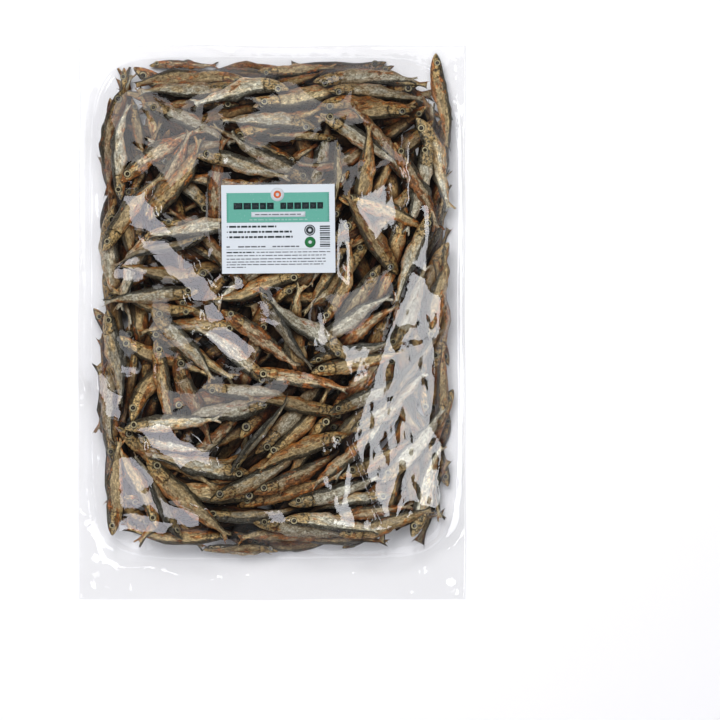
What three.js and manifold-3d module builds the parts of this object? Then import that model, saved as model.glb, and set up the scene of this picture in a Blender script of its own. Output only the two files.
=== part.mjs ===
// A clear, sealed bag of dried whole sprats, lying on its back with the front up.
// Millimetres, +Z up. +X is to the right and +Y to the top of the front.
// The origin is under the middle of the bag, on the surface that it lies on.
import * as THREE from "three";
import { mergeVertices } from "three/addons/utils/BufferGeometryUtils.js";
import Module from "manifold-3d";

const wasm = await Module();
wasm.setup();

const DEGREE = Math.PI / 180;

// The flat bag, and the flat margin that its two films make together outside the heap.
const BAG = { width: 350, length: 500, margin: 1.4 };
// The heap's outline is a rounded rectangle: a superellipse, a little off the bag's middle.
const HEAP = { x: 2, y: 13, halfWidth: 160, halfLength: 221, power: 8 };
const HEIGHT = { crown: 46, seam: 8.5, edge: 3.4 };
const CROWN_POWER = 6;
const CROWN_FALL = 0.55;
// How late the margin rises on its way from the edge to the heap.
const MARGIN_POWER = 3;
// The underside is flat out to this share of the heap's outline.
const FOOT = 0.8;
// The core stays this far below the tops of the fish that lie on it.
const CORE_DEPTH = 5.5;
const WAVE = { height: 1.1, along: 61, across: 47 };
// Right of this crease, given by its corners, the front slopes down to the side seal.
const CREASE = [
  [124, 52],
  [70, -106],
  [115, -214],
];
const SLOPE = { fall: 0.16, most: 14 };

// Rings of the core, as shares of the heap's outline, and of the way from there to the bag's edge.
const HEAP_RINGS = [0.34, 0.58, 0.74, 0.84, 0.91, 0.96, 1];
const MARGIN_RINGS = [0.35, 1];
const STEPS_A_SIDE = 11;

// A sprat lies on its side: its depth is seen from above and its thickness is half of that.
const SPRAT = { shortest: 88, longest: 120, depth: 0.17, thickness: 0.085, sides: 5 };
// Shares of the length and of the depth, from the snout over the gill cover to the tail fin.
const SPRAT_OUTLINE = [
  [0, 0],
  [0.09, 0.7],
  [0.21, 0.92],
  [0.4, 1],
  [0.68, 0.68],
  [0.89, 0.3],
  [1, 0.74],
  [1, 0],
];
const FIN = { starts: 0.88, thickness: 0.36 };
const ROWS = 13;
const COLUMNS = 5;
// Fish stay inside this share of the heap's outline, which keeps them clear of the seals.
const INSIDE = 0.935;

const LABEL = { width: 101, length: 79, thickness: 0.8, x: 6.5, y: 83, turn: 0.6, z: 46.2, gap: 0.35 };

// A number from 0 to 1 that looks random and is the same on every run.
function draw(count, stream) {
  const wide = Math.sin(count * 12.9898 + stream * 78.233) * 43758.5453;
  return wide - Math.floor(wide);
}

// 0 in the middle of the heap and 1 on its outline.
function reach(x, y) {
  const across = Math.abs(x - HEAP.x) / HEAP.halfWidth;
  const along = Math.abs(y - HEAP.y) / HEAP.halfLength;
  return (across ** HEAP.power + along ** HEAP.power) ** (1 / HEAP.power);
}

// The height of the margin, which falls from the heap to the edge of the bag in soft waves.
function marginHeight(x, y) {
  const toSide = BAG.width / 2 - Math.abs(x);
  const toEnd = BAG.length / 2 - Math.abs(y);
  const toEdge = Math.max(0, Math.min(toSide, toEnd));
  const out = Math.max(0, reach(x, y) - 1) * HEAP.halfWidth;
  const left = toEdge / (toEdge + out + 1e-6);
  const wave = Math.sin(x / WAVE.across) * Math.cos(y / WAVE.along) * WAVE.height;
  return HEIGHT.edge + wave + (HEIGHT.seam - HEIGHT.edge) * left ** MARGIN_POWER;
}

// How far the front has come down right of its crease.
function sloped(x, y) {
  let past = Infinity;
  for (let i = 1; i < CREASE.length; i++) {
    const [first, last] = [CREASE[i - 1], CREASE[i]];
    const run = [last[0] - first[0], last[1] - first[1]];
    const cross = run[0] * (y - first[1]) - run[1] * (x - first[0]);
    past = Math.min(past, cross / Math.hypot(...run));
  }
  return THREE.MathUtils.clamp(past * SLOPE.fall, 0, SLOPE.most);
}

// The height that the tops of the fish reach.
function crownHeight(x, y) {
  const out = reach(x, y);
  if (out >= 1) return marginHeight(x, y);
  const fall = (1 - out ** CROWN_POWER) ** CROWN_FALL;
  return marginHeight(x, y) + (HEIGHT.crown - HEIGHT.seam - sloped(x, y)) * fall;
}

function coreHeight(x, y) {
  const out = reach(x, y);
  const shoulder = Math.min(1, Math.max(0, (1 - out) / 0.3));
  return crownHeight(x, y) - CORE_DEPTH * Math.sqrt(shoulder);
}

function undersideHeight(x, y) {
  const out = reach(x, y);
  if (out <= FOOT) return 0;
  const rise = Math.min(1, (out - FOOT) / (1 - FOOT));
  return (marginHeight(x, y) - BAG.margin) * (1 - Math.sqrt(1 - rise * rise));
}

// The point that lies a number of steps round the bag's edge, from the corner at lower right.
function edgePoint(step) {
  const side = Math.floor(step / STEPS_A_SIDE) % 4;
  const share = 2 * ((step % STEPS_A_SIDE) / STEPS_A_SIDE) - 1;
  const corners = [
    [1, share],
    [-share, 1],
    [-1, -share],
    [share, -1],
  ];
  return new THREE.Vector2((corners[side][0] * BAG.width) / 2, (corners[side][1] * BAG.length) / 2);
}

function solidOf(geometry) {
  const bare = geometry.clone();
  bare.deleteAttribute("normal");
  bare.deleteAttribute("uv");
  const merged = mergeVertices(bare, 1e-4);
  return new wasm.Manifold(
    new wasm.Mesh({
      numProp: 3,
      vertProperties: merged.attributes.position.array,
      triVerts: new Uint32Array(merged.index.array),
    }),
  );
}

function geometryOf(solid) {
  const mesh = solid.getMesh();
  const geometry = new THREE.BufferGeometry();
  geometry.setAttribute("position", new THREE.BufferAttribute(new Float32Array(mesh.vertProperties), 3));
  geometry.setIndex(new THREE.BufferAttribute(new Uint32Array(mesh.triVerts), 1));
  geometry.computeVertexNormals();
  return geometry;
}

// The filled bag without the fish that show: a flat-bottomed pillow with its margin round it.
// A lathed disc gives the rings, and each of its points is moved to its place in the bag.
function coreGeometry() {
  const rings = [...HEAP_RINGS, ...MARGIN_RINGS.map((share) => 1 + share)];
  const upper = [0, ...rings].map((ring) => new THREE.Vector2(ring, 1));
  const lower = [...rings].reverse().map((ring) => new THREE.Vector2(ring, -1));
  const steps = 4 * STEPS_A_SIDE;
  const geometry = new THREE.LatheGeometry([...upper, ...lower, new THREE.Vector2(0, -1)].reverse(), steps);
  const place = geometry.attributes.position;
  for (let i = 0; i < place.count; i++) {
    const ring = Math.hypot(place.getX(i), place.getZ(i));
    const turn = Math.atan2(place.getX(i), place.getZ(i)) / (2 * Math.PI);
    const edge = edgePoint(Math.round((1 + turn) * steps) % steps);
    const middle = new THREE.Vector2(HEAP.x, HEAP.y);
    const outline = edge.clone().sub(middle).divideScalar(reach(edge.x, edge.y)).add(middle);
    const at = ring <= 1 ? middle.clone().lerp(outline, ring) : outline.clone().lerp(edge, ring - 1);
    const z = place.getY(i) > 0 ? coreHeight(at.x, at.y) : undersideHeight(at.x, at.y);
    place.setXYZ(i, at.x, at.y, z);
  }
  return geometry;
}

// How the fish lie: along the edges near them, and inside in slow swirls that lean to the right.
function heading(x, y, count) {
  const across = (x - HEAP.x) / HEAP.halfWidth;
  const along = (y - HEAP.y) / HEAP.halfLength;
  const swirl = 24 + 46 * Math.sin(2.3 * across + 0.5) - 24 * Math.sin(2.6 * along);
  const loose = (draw(count, 3) - 0.5) * 96;
  const sideways = Math.abs(across) > Math.abs(along) * 0.96;
  const edge = sideways ? 90 - 14 * across : -6 * across;
  const hold = THREE.MathUtils.smoothstep(reach(x, y), 0.62, 0.9);
  return THREE.MathUtils.lerp(swirl + loose, edge + loose * 0.22, hold) * DEGREE;
}

// Where each fish lies, on a grid of rows and columns that is shaken loose.
function layFish() {
  const fish = [];
  for (let row = 0; row < ROWS; row++) {
    for (let column = 0; column < COLUMNS; column++) {
      const count = 1 + row * COLUMNS + column;
      const across = ((column + 0.5 + (draw(count, 1) - 0.5) * 0.7) / COLUMNS) * 2 - 1;
      const along = ((row + 0.5 + (draw(count, 2) - 0.5) * 0.8) / ROWS) * 2 - 1;
      const x = HEAP.x + across * HEAP.halfWidth * 0.985;
      const y = HEAP.y + along * HEAP.halfLength * 0.985;
      const length = SPRAT.shortest + (SPRAT.longest - SPRAT.shortest) * draw(count, 4);
      const flip = draw(count, 5) < 0.5 ? Math.PI : 0;
      const bend = (draw(count, 6) - 0.5) * 1.1;
      const roll = (draw(count, 7) - 0.5) * 44 * DEGREE;
      fish.push(keptInside({ x, y, length, heading: heading(x, y, count) + flip, bend, roll }));
    }
  }
  return fish;
}

// Moves a fish whose head or tail would reach the seals.
function keptInside(fish) {
  const kept = { ...fish };
  for (let step = 0; step < 80; step++) {
    const out = [0, 0.5, 1].map((share) => axisPoint(kept, share)).find((at) => reach(at.x, at.y) > INSIDE);
    if (!out) break;
    const back = new THREE.Vector2(HEAP.x - out.x, HEAP.y - out.y).setLength(1.5);
    kept.x += back.x;
    kept.y += back.y;
  }
  return kept;
}

// One sprat, from a lathed spindle that is flattened, bent sideways and laid on the crown.
function spratGeometry(fish) {
  const { length } = fish;
  const profile = SPRAT_OUTLINE.map(([along, out]) => new THREE.Vector2(out, along));
  const geometry = new THREE.LatheGeometry(profile.reverse(), SPRAT.sides);
  const place = geometry.attributes.position;
  const heights = [0.14, 0.5, 0.86].map((share) => {
    const at = axisPoint(fish, share);
    return crownHeight(at.x, at.y);
  });
  const middle = axisPoint(fish, 0.45);
  const side = new THREE.Vector2(-Math.sin(fish.heading), Math.cos(fish.heading)).multiplyScalar(5);
  const step = crownHeight(middle.x + side.x, middle.y + side.y) - crownHeight(middle.x - side.x, middle.y - side.y);
  const roll = fish.roll + Math.atan2(step, 2 * side.length());
  for (let i = 0; i < place.count; i++) {
    const share = place.getY(i);
    const flat = share > FIN.starts ? FIN.thickness : 1;
    const wide = (place.getX(i) * SPRAT.depth * length) / 2;
    const thick = (place.getZ(i) * SPRAT.thickness * length * flat) / 2;
    const across = wide * Math.cos(roll) - thick * Math.sin(roll);
    const up = wide * Math.sin(roll) + thick * Math.cos(roll);
    const at = axisPoint(fish, share);
    const x = at.x - Math.sin(at.turn) * across;
    const y = at.y + Math.cos(at.turn) * across;
    const top = curveThrough(heights, share) - (SPRAT.thickness * length) / 2;
    place.setXYZ(i, x, y, Math.max(top + up, undersideHeight(x, y) + BAG.margin));
  }
  return geometry;
}

// A point of the fish's backbone, which is an arc in plan.
function axisPoint(fish, share) {
  const from = share - 0.5;
  const turn = fish.heading + fish.bend * from;
  const sag = (fish.bend * from * from) / 2;
  const ahead = from * fish.length;
  const aside = sag * fish.length;
  return {
    x: fish.x + Math.cos(fish.heading) * ahead - Math.sin(fish.heading) * aside,
    y: fish.y + Math.sin(fish.heading) * ahead + Math.cos(fish.heading) * aside,
    turn,
  };
}

// The parabola through three heights at shares 0.14, 0.5 and 0.86 of the length.
function curveThrough([first, middle, last], share) {
  const t = (share - 0.5) / 0.36;
  return middle + ((last - first) / 2) * t + ((last + first) / 2 - middle) * t * t;
}

function labelPlate(grow, height) {
  const outline = new THREE.Shape();
  const [halfWidth, halfLength] = [LABEL.width / 2 + grow, LABEL.length / 2 + grow];
  outline.moveTo(-halfWidth, -halfLength);
  outline.lineTo(halfWidth, -halfLength);
  outline.lineTo(halfWidth, halfLength);
  outline.lineTo(-halfWidth, halfLength);
  return new THREE.ExtrudeGeometry(outline, { depth: height, bevelEnabled: false });
}

function placedLabel(grow, height, z) {
  return labelPlate(grow, height)
    .rotateZ(LABEL.turn * DEGREE)
    .translate(LABEL.x, LABEL.y, z);
}

// The core with its fish fused on, flat under the label, as its one outer shell.
function bagGeometry() {
  let solid = solidOf(coreGeometry());
  for (const fish of layFish()) solid = solid.add(solidOf(spratGeometry(fish)));
  const room = placedLabel(LABEL.gap, HEIGHT.crown, LABEL.z - LABEL.gap);
  solid = solid.subtract(solidOf(room));
  const shells = solid.decompose().sort((a, b) => b.volume() - a.volume());
  return geometryOf(shells[0]);
}

function mesh(name, geometry, colour, roughness, metalness) {
  const material = new THREE.MeshStandardMaterial({ color: colour, roughness, metalness });
  const made = new THREE.Mesh(geometry, material);
  made.name = name;
  return made;
}

const pack = new THREE.Group();
pack.add(mesh("bag", bagGeometry(), 0x6e6250, 0.45, 0.15));
pack.add(mesh("label", placedLabel(0, LABEL.thickness, LABEL.z), 0xdfe9ec, 0.6, 0));

export default pack;
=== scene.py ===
"""Clear sealed bag of whole dried sprats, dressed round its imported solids.

The bag lies on its back. The sprats fill it as a flat heap that shows through two sheets of
film, with a clear margin and a weld all round, and a printed paper label on the front sheet.
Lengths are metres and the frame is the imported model's own.
"""

import logging
import math
from collections.abc import Iterator
from contextlib import contextmanager
from dataclasses import dataclass, field, replace
from enum import Enum

import bpy
import numpy as np
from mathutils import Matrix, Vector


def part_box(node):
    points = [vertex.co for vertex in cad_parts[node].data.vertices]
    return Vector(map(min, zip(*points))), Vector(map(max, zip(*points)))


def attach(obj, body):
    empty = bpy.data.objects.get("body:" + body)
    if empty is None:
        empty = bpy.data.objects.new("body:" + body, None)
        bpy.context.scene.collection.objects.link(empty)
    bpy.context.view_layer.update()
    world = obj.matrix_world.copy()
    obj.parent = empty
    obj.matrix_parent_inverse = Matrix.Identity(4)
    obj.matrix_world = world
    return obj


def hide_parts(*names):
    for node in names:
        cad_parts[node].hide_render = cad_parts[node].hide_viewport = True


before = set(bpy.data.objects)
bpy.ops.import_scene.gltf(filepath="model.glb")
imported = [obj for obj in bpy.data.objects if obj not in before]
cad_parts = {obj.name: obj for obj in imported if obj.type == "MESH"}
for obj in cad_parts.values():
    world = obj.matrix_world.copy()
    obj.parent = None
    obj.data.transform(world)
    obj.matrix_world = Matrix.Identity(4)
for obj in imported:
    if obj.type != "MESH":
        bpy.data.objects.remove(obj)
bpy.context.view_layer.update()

LOG = logging.getLogger("sprat_bag")

MM = 0.001
PIXEL = 0.9 * MM
BAG_CENTRE_PIXEL = (272.0, 322.5)
FRAME_CENTRE_PIXEL = (360.0, 360.0)
SEED = 20261
Colour = tuple[float, float, float, float]
WHITE = (1.0, 1.0, 1.0, 1.0)


def srgb(red: int, green: int, blue: int) -> Colour:
    """Turn an 8-bit display colour into the linear colour that shaders take.

    Args:
        red: Red from 0 to 255.
        green: Green from 0 to 255.
        blue: Blue from 0 to 255.

    Returns:
        Linear red, green, blue and an alpha of 1.
    """
    shares = (value / 255 for value in (red, green, blue))
    linear = [v / 12.92 if v <= 0.04045 else ((v + 0.055) / 1.055) ** 2.4 for v in shares]
    return (*linear, 1.0)


def spot(pixel: tuple[float, float]) -> tuple[float, float]:
    """Give the place on the bag, in metres, that a pixel of the photograph shows."""
    left, top = BAG_CENTRE_PIXEL
    return (pixel[0] - left) * PIXEL, (top - pixel[1]) * PIXEL


def smooth(value: np.ndarray, low: float, high: float) -> np.ndarray:
    """Ease from 0 at low to 1 at high."""
    share = np.clip((value - low) / (high - low), 0.0, 1.0)
    return share * share * (3 - 2 * share)


def draw(count: np.ndarray | int, stream: int) -> np.ndarray | float:
    """Give the fixed draw from 0 to 1 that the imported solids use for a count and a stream."""
    wide = np.sin(count * 12.9898 + stream * 78.233) * 43758.5453
    return wide - np.floor(wide)


def blurred(height: np.ndarray, cells: float, axes: tuple[int, ...] = (0, 1)) -> np.ndarray:
    """Smooth a grid.

    Args:
        height: Values over the grid.
        cells: Spread of the smoothing, in cells.
        axes: The ways in which it is smoothed.

    Returns:
        The smoothed values.
    """
    reach = int(3 * cells) + 1
    kernel = np.exp(-((np.arange(-reach, reach + 1) / cells) ** 2) / 2)
    kernel /= kernel.sum()
    for axis in axes:
        padded = np.pad(height, [(reach, reach) if a == axis else (0, 0) for a in (0, 1)], "edge")
        height = np.apply_along_axis(lambda row: np.convolve(row, kernel, "valid"), axis, padded)
    return height


def new_grid(name: str, columns: int, rows: int) -> bpy.types.Object:
    """Add a flat grid of side 1 in the middle of the frame.

    Args:
        name: The object's name.
        columns: Faces across it.
        rows: Faces along it.

    Returns:
        The grid, alone selected.
    """
    bpy.ops.object.select_all(action="DESELECT")
    bpy.ops.mesh.primitive_grid_add(
        x_subdivisions=columns, y_subdivisions=rows, size=1, location=(0, 0, 0))
    grid = bpy.context.object
    grid.name = grid.data.name = name
    return grid


def thicken(sheet: bpy.types.Object, gauge: float) -> None:
    """Give the sheet that is selected its thickness, inwards from its face.

    Args:
        sheet: The sheet.
        gauge: Its thickness.
    """
    solid = sheet.modifiers.new("gauge", "SOLIDIFY")
    solid.thickness = gauge
    solid.offset = -1
    bpy.ops.object.modifier_apply(modifier=solid.name)


class Back(Enum):
    """The side that a sprat's back is on, seen from above, going from snout to tail."""

    LEFT = 1
    RIGHT = -1


class Kind(Enum):
    """The kinds of sprat in the heap, by how they dried, with the deep ones under the top layer, whose
    darker skin is painted shade.
    """

    SILVER = "silver"
    GOLDEN = "golden"
    BRONZE = "bronze"
    DARK = "dark"
    TORN = "torn"
    UNDER = "under"


class Detail(Enum):
    """How finely a sprat is meshed."""

    FINE = "fine"
    COARSE = "coarse"


@dataclass(frozen=True)
class BagForm:
    """The form of the filled bag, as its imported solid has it.

    Attributes:
        width: Side to side over the film.
        length: Bottom to top over the film.
        crown: Height of the middle of the heap.
        seam: Height of the film where the heap ends.
        edge: Height of the film at its outer edge.
        heap_x: Middle of the heap, sideways.
        heap_y: Middle of the heap, lengthways.
        half_width: Half the heap's width.
        half_length: Half the heap's length.
        power: How square the heap's outline is.
        crown_power: How flat the top of the heap is.
        crown_fall: How steeply the heap's shoulders fall.
        margin_power: How late the margin rises on its way to the heap.
        foot: Share of the heap that rests on the floor.
        margin: Thickness of the two films of the margin with the air between.
        wave: Height of the margin's waves.
        wave_across: Spread of the waves sideways.
        wave_along: Spread of the waves lengthways.
        crease: Corners of the crease right of which the front slopes down.
        slope: How steeply it slopes there.
        slope_most: How far it comes down at most.
    """

    width: float
    length: float
    crown: float = 46 * MM
    seam: float = 8.5 * MM
    edge: float = 3.4 * MM
    heap_x: float = 2 * MM
    heap_y: float = 13 * MM
    half_width: float = 160 * MM
    half_length: float = 221 * MM
    power: float = 8.0
    crown_power: float = 6.0
    crown_fall: float = 0.55
    margin_power: float = 3.0
    foot: float = 0.8
    margin: float = 1.4 * MM
    wave: float = 1.1 * MM
    wave_across: float = 47 * MM
    wave_along: float = 61 * MM
    crease: tuple[tuple[float, float], ...] = ((0.124, 0.052), (0.070, -0.106), (0.115, -0.214))
    slope: float = 0.16
    slope_most: float = 14 * MM

    def loosened(self) -> "BagForm":
        """Give the form that film takes round loose fish.

        Returns:
            The form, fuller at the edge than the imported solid.
        """
        return replace(
            self,
            seam=5 * MM,
            half_width=self.half_width + 4 * MM,
            half_length=self.half_length + 3 * MM,
            crown_power=7.0,
            crown_fall=0.5,
            foot=0.9,
        )

    def reach(self, x: np.ndarray, y: np.ndarray) -> np.ndarray:
        """Give how near places are to the heap's outline.

        Args:
            x: Places on the bag.
            y: Places on the bag.

        Returns:
            0 in the middle of the heap and 1 on its outline.
        """
        across = np.abs(x - self.heap_x) / self.half_width
        along = np.abs(y - self.heap_y) / self.half_length
        return (across**self.power + along**self.power) ** (1 / self.power)

    def to_edge(self, x: np.ndarray, y: np.ndarray) -> np.ndarray:
        """Give the distance from the bag's outer edge, 0 outside it."""
        inward = np.minimum(self.width / 2 - np.abs(x), self.length / 2 - np.abs(y))
        return np.maximum(0.0, inward)

    def margin_height(self, x: np.ndarray, y: np.ndarray) -> np.ndarray:
        """Give the height of the film past the heap.

        Args:
            x: Places on the bag.
            y: Places on the bag.

        Returns:
            The heights there.
        """
        inward = self.to_edge(x, y)
        out = np.maximum(0.0, self.reach(x, y) - 1) * self.half_width
        left = inward / (inward + out + 1e-9)
        wave = np.sin(x / self.wave_across) * np.cos(y / self.wave_along) * self.wave
        return self.edge + wave + (self.seam - self.edge) * left**self.margin_power

    def sloped(self, x: np.ndarray, y: np.ndarray) -> np.ndarray:
        """Give how far the front comes down right of its crease.

        Args:
            x: Places on the bag.
            y: Places on the bag.

        Returns:
            How much lower it is there.
        """
        past = np.full(np.shape(x), np.inf)
        for first, last in zip(self.crease, self.crease[1:]):
            run = (last[0] - first[0], last[1] - first[1])
            cross = run[0] * (y - first[1]) - run[1] * (x - first[0])
            past = np.minimum(past, cross / math.hypot(*run))
        return np.clip(past * self.slope, 0, self.slope_most)

    def crown_height(self, x: np.ndarray, y: np.ndarray) -> np.ndarray:
        """Give the height of the front of the bag.

        Args:
            x: Places on the bag.
            y: Places on the bag.

        Returns:
            The heights there.
        """
        out = np.minimum(self.reach(x, y), 1.0)
        fall = (1 - out**self.crown_power) ** self.crown_fall
        return self.margin_height(x, y) + (self.crown - self.seam - self.sloped(x, y)) * fall

    def underside(self, x: np.ndarray, y: np.ndarray) -> np.ndarray:
        """Give the height of the back of the bag."""
        rise = np.clip((self.reach(x, y) - self.foot) / (1 - self.foot), 0.0, 1.0)
        return (self.margin_height(x, y) - self.margin) * (1 - np.sqrt(1 - rise * rise))


@dataclass(frozen=True)
class SpratShape:
    """The profile of a sprat, each part as a share of the fish's length.

    Attributes:
        shares: Places along the fish, from its snout.
        rise: How far the back stands above the axis there.
        drop: How far the belly hangs below it there.
        half: Half the thickness there.
        tail: Where the tail fin starts.
        fork: How deep the tail fin is cut.
    """

    shares: tuple[float, ...] = (
        0, 0.02, 0.06, 0.12, 0.18, 0.22, 0.3, 0.4, 0.5, 0.6, 0.7, 0.8, 0.87, 0.91)
    rise: tuple[float, ...] = (
        0.005, 0.021, 0.04, 0.054, 0.061, 0.063, 0.067, 0.068, 0.063, 0.054, 0.042, 0.029, 0.021, 0.019)
    drop: tuple[float, ...] = (
        0.008, 0.025, 0.046, 0.063, 0.072, 0.074, 0.083, 0.087, 0.08, 0.065, 0.047, 0.03, 0.02, 0.018)
    half: tuple[float, ...] = (
        0.003, 0.011, 0.022, 0.031, 0.036, 0.036, 0.038, 0.038, 0.035, 0.029, 0.022, 0.014, 0.008, 0.006)
    tail: float = 0.91
    fork: float = 0.05

    def profile(self, share: np.ndarray, spread: np.ndarray | float) -> tuple[np.ndarray, ...]:
        """Give the back, belly and half thickness at places along the fish.

        Args:
            share: Places along the fish, from 0 to 1.
            spread: How far the tail fin is fanned out, from 0 to 1.

        Returns:
            Rise, drop and half thickness, as shares of the length.
        """
        rise = np.interp(share, self.shares, self.rise)
        drop = np.interp(share, self.shares, self.drop)
        half = np.interp(share, self.shares, self.half)
        fan = np.clip((share - self.tail) / (1 - self.tail), 0.0, 1.0)
        flare = fan**0.8 * 0.062 * spread
        half = half * (1 - fan) ** 0.7 + 0.0018 * fan**0.3
        return rise + flare, drop + flare, half


@dataclass
class Batch:
    """A batch of sprats that are tried or laid together, one array entry each.

    Attributes:
        x: Middle of the fish.
        y: Middle of the fish.
        heading: Direction from snout to tail.
        bow: Turn of the fish in plan, over its length.
        sway: How far it strays in an S, as a share of its length.
        roll: How far the back is turned up, 0 on its side.
        twist: Turn about its own axis, over its length.
        length: Snout to tail tip.
        fat: Depth from back to belly, as a share of the usual.
        thin: Thickness, as a share of the usual.
        back: 1 with the back to the left of the heading, -1 to the right.
        spread: How far the tail fin is fanned out.
    """

    x: np.ndarray
    y: np.ndarray
    heading: np.ndarray
    bow: np.ndarray
    sway: np.ndarray
    roll: np.ndarray
    twist: np.ndarray
    length: np.ndarray
    fat: np.ndarray
    thin: np.ndarray
    back: np.ndarray
    spread: np.ndarray

    def pick(self, index: int) -> "Batch":
        """Give one entry as a batch of its own."""
        return Batch(**{name: values[index : index + 1] for name, values in vars(self).items()})

    def repeated(self, times: int) -> "Batch":
        """Give each entry several times."""
        return Batch(**{name: np.repeat(values, times) for name, values in vars(self).items()})

    def track(self, share: np.ndarray) -> tuple[np.ndarray, np.ndarray, np.ndarray]:
        """Give the axis in plan.

        Args:
            share: Places along the fish, from 0 to 1.

        Returns:
            X, Y and the direction of the axis, each with one row for each fish.
        """
        along = share[None, :] - 0.5
        length = self.length[:, None]
        wave = 2 * math.pi * share[None, :]
        sway = self.sway[:, None]
        aside = (self.bow[:, None] * along * along / 2 + sway * np.sin(wave)) * length
        cos, sin = np.cos(self.heading)[:, None], np.sin(self.heading)[:, None]
        x = self.x[:, None] + cos * along * length - sin * aside
        y = self.y[:, None] + sin * along * length + cos * aside
        turn = self.bow[:, None] * along + sway * 2 * math.pi * np.cos(wave)
        return x, y, self.heading[:, None] + turn

    def lean(self, share: np.ndarray) -> np.ndarray:
        """Give the angle of the back above the left of the heading, along the fish."""
        rolled = self.roll[:, None] + self.twist[:, None] * (share[None, :] - 0.5)
        return np.where(self.back[:, None] > 0, rolled, math.pi - rolled)


@dataclass
class Sprat:
    """One laid sprat.

    Attributes:
        pose: Its place in plan and its build, as a batch of one.
        lift: Height of its axis at the heap's places along the fish.
        number: Its place in the order of laying.
        kind: How it dried.
        top: Whether it was laid in the layer that shows.
    """

    pose: Batch
    lift: np.ndarray
    number: int
    kind: Kind
    top: bool


@dataclass(frozen=True)
class Shown:
    """A sprat that stands out in the photograph.

    Attributes:
        head: Pixel of its snout.
        tail: Pixel of its tail.
        bow: Turn of its axis from snout to tail, in degrees, leftwards positive.
        back: The side its back is on.
        roll: How far its back is turned up, in degrees.
        kind: How it dried.
    """

    head: tuple[float, float]
    tail: tuple[float, float]
    bow: float = 0.0
    back: Back = Back.LEFT
    roll: float = 0.0
    kind: Kind = Kind.SILVER


TOP_EDGE = (
    Shown((235, 67), (157, 77), bow=12, kind=Kind.BRONZE),
    Shown((319, 63), (424, 68), bow=-12, back=Back.RIGHT),
    Shown((228, 84), (146, 90), bow=-14),
    Shown((291, 91), (196, 104), bow=34),
    Shown((338, 77), (430, 90), bow=-8, back=Back.RIGHT),
    Shown((330, 99), (410, 104), bow=10, back=Back.RIGHT, kind=Kind.BRONZE),
    Shown((402, 109), (320, 117), bow=8, kind=Kind.BRONZE),
    Shown((454, 112), (374, 122), bow=-10),
    Shown((300, 128), (236, 122), bow=16),
)
UPPER_LEFT = (
    Shown((114, 59), (176, 104), bow=26, kind=Kind.BRONZE),
    Shown((109, 80), (106, 190), bow=34, back=Back.RIGHT, kind=Kind.TORN),
    Shown((122, 197), (131, 108), bow=-36),
    Shown((155, 109), (226, 143), bow=-10, back=Back.RIGHT),
    Shown((132, 175), (197, 131), bow=-26, kind=Kind.TORN),
    Shown((157, 200), (184, 148), bow=12, kind=Kind.TORN),
    Shown((158, 213), (197, 148), bow=30, back=Back.RIGHT, kind=Kind.BRONZE),
    Shown((214, 212), (222, 160), bow=-14, kind=Kind.TORN),
    Shown((222, 225), (168, 232), bow=8),
    Shown((311, 184), (231, 134), bow=-10, back=Back.RIGHT),
    Shown((196, 160), (282, 176), bow=-12),
    Shown((106, 229), (150, 190), bow=-30, kind=Kind.BRONZE),
    Shown((183, 238), (128, 262), bow=14, kind=Kind.DARK, roll=50),
)
UPPER_RIGHT = (
    Shown((436, 72), (445, 146), bow=-10, kind=Kind.BRONZE),
    Shown((438, 118), (457, 196), bow=-16, back=Back.RIGHT),
    Shown((398, 163), (364, 116), bow=6, kind=Kind.TORN),
    Shown((344, 119), (386, 152), bow=-6),
    Shown((366, 191), (374, 142), bow=14, kind=Kind.BRONZE),
    Shown((346, 134), (334, 204), bow=8, kind=Kind.TORN),
    Shown((329, 120), (318, 186), bow=-8, kind=Kind.DARK, roll=40),
    Shown((432, 150), (406, 220), bow=-18, back=Back.RIGHT),
    Shown((361, 197), (413, 226), bow=-34, kind=Kind.BRONZE),
    Shown((384, 253), (360, 212), bow=-8, kind=Kind.BRONZE),
    Shown((336, 252), (362, 213), bow=6, roll=35),
    Shown((419, 146), (458, 212), bow=-12, kind=Kind.TORN),
    Shown((423, 232), (402, 286), bow=10),
    Shown((452, 206), (440, 292), bow=8, kind=Kind.BRONZE),
)
MIDDLE_LEFT = (
    Shown((185, 298), (88, 293), bow=10, back=Back.RIGHT),
    Shown((92, 300), (153, 330), bow=-8, roll=-8),
    Shown((142, 366), (152, 304), bow=34, kind=Kind.DARK, roll=48),
    Shown((157, 312), (212, 378), bow=-16),
    Shown((158, 357), (179, 422), bow=12, kind=Kind.BRONZE),
    Shown((179, 357), (209, 434), bow=6, kind=Kind.TORN),
    Shown((232, 317), (292, 362), bow=-8, kind=Kind.TORN),
    Shown((301, 284), (217, 301), bow=-10, kind=Kind.BRONZE),
    Shown((262, 376), (204, 334), bow=12),
    Shown((212, 388), (292, 400), bow=-8, back=Back.RIGHT),
    Shown((253, 404), (200, 418), bow=-10),
    Shown((112, 366), (113, 436), bow=30),
    Shown((105, 330), (108, 382), bow=-18, kind=Kind.DARK, roll=30),
)
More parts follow.
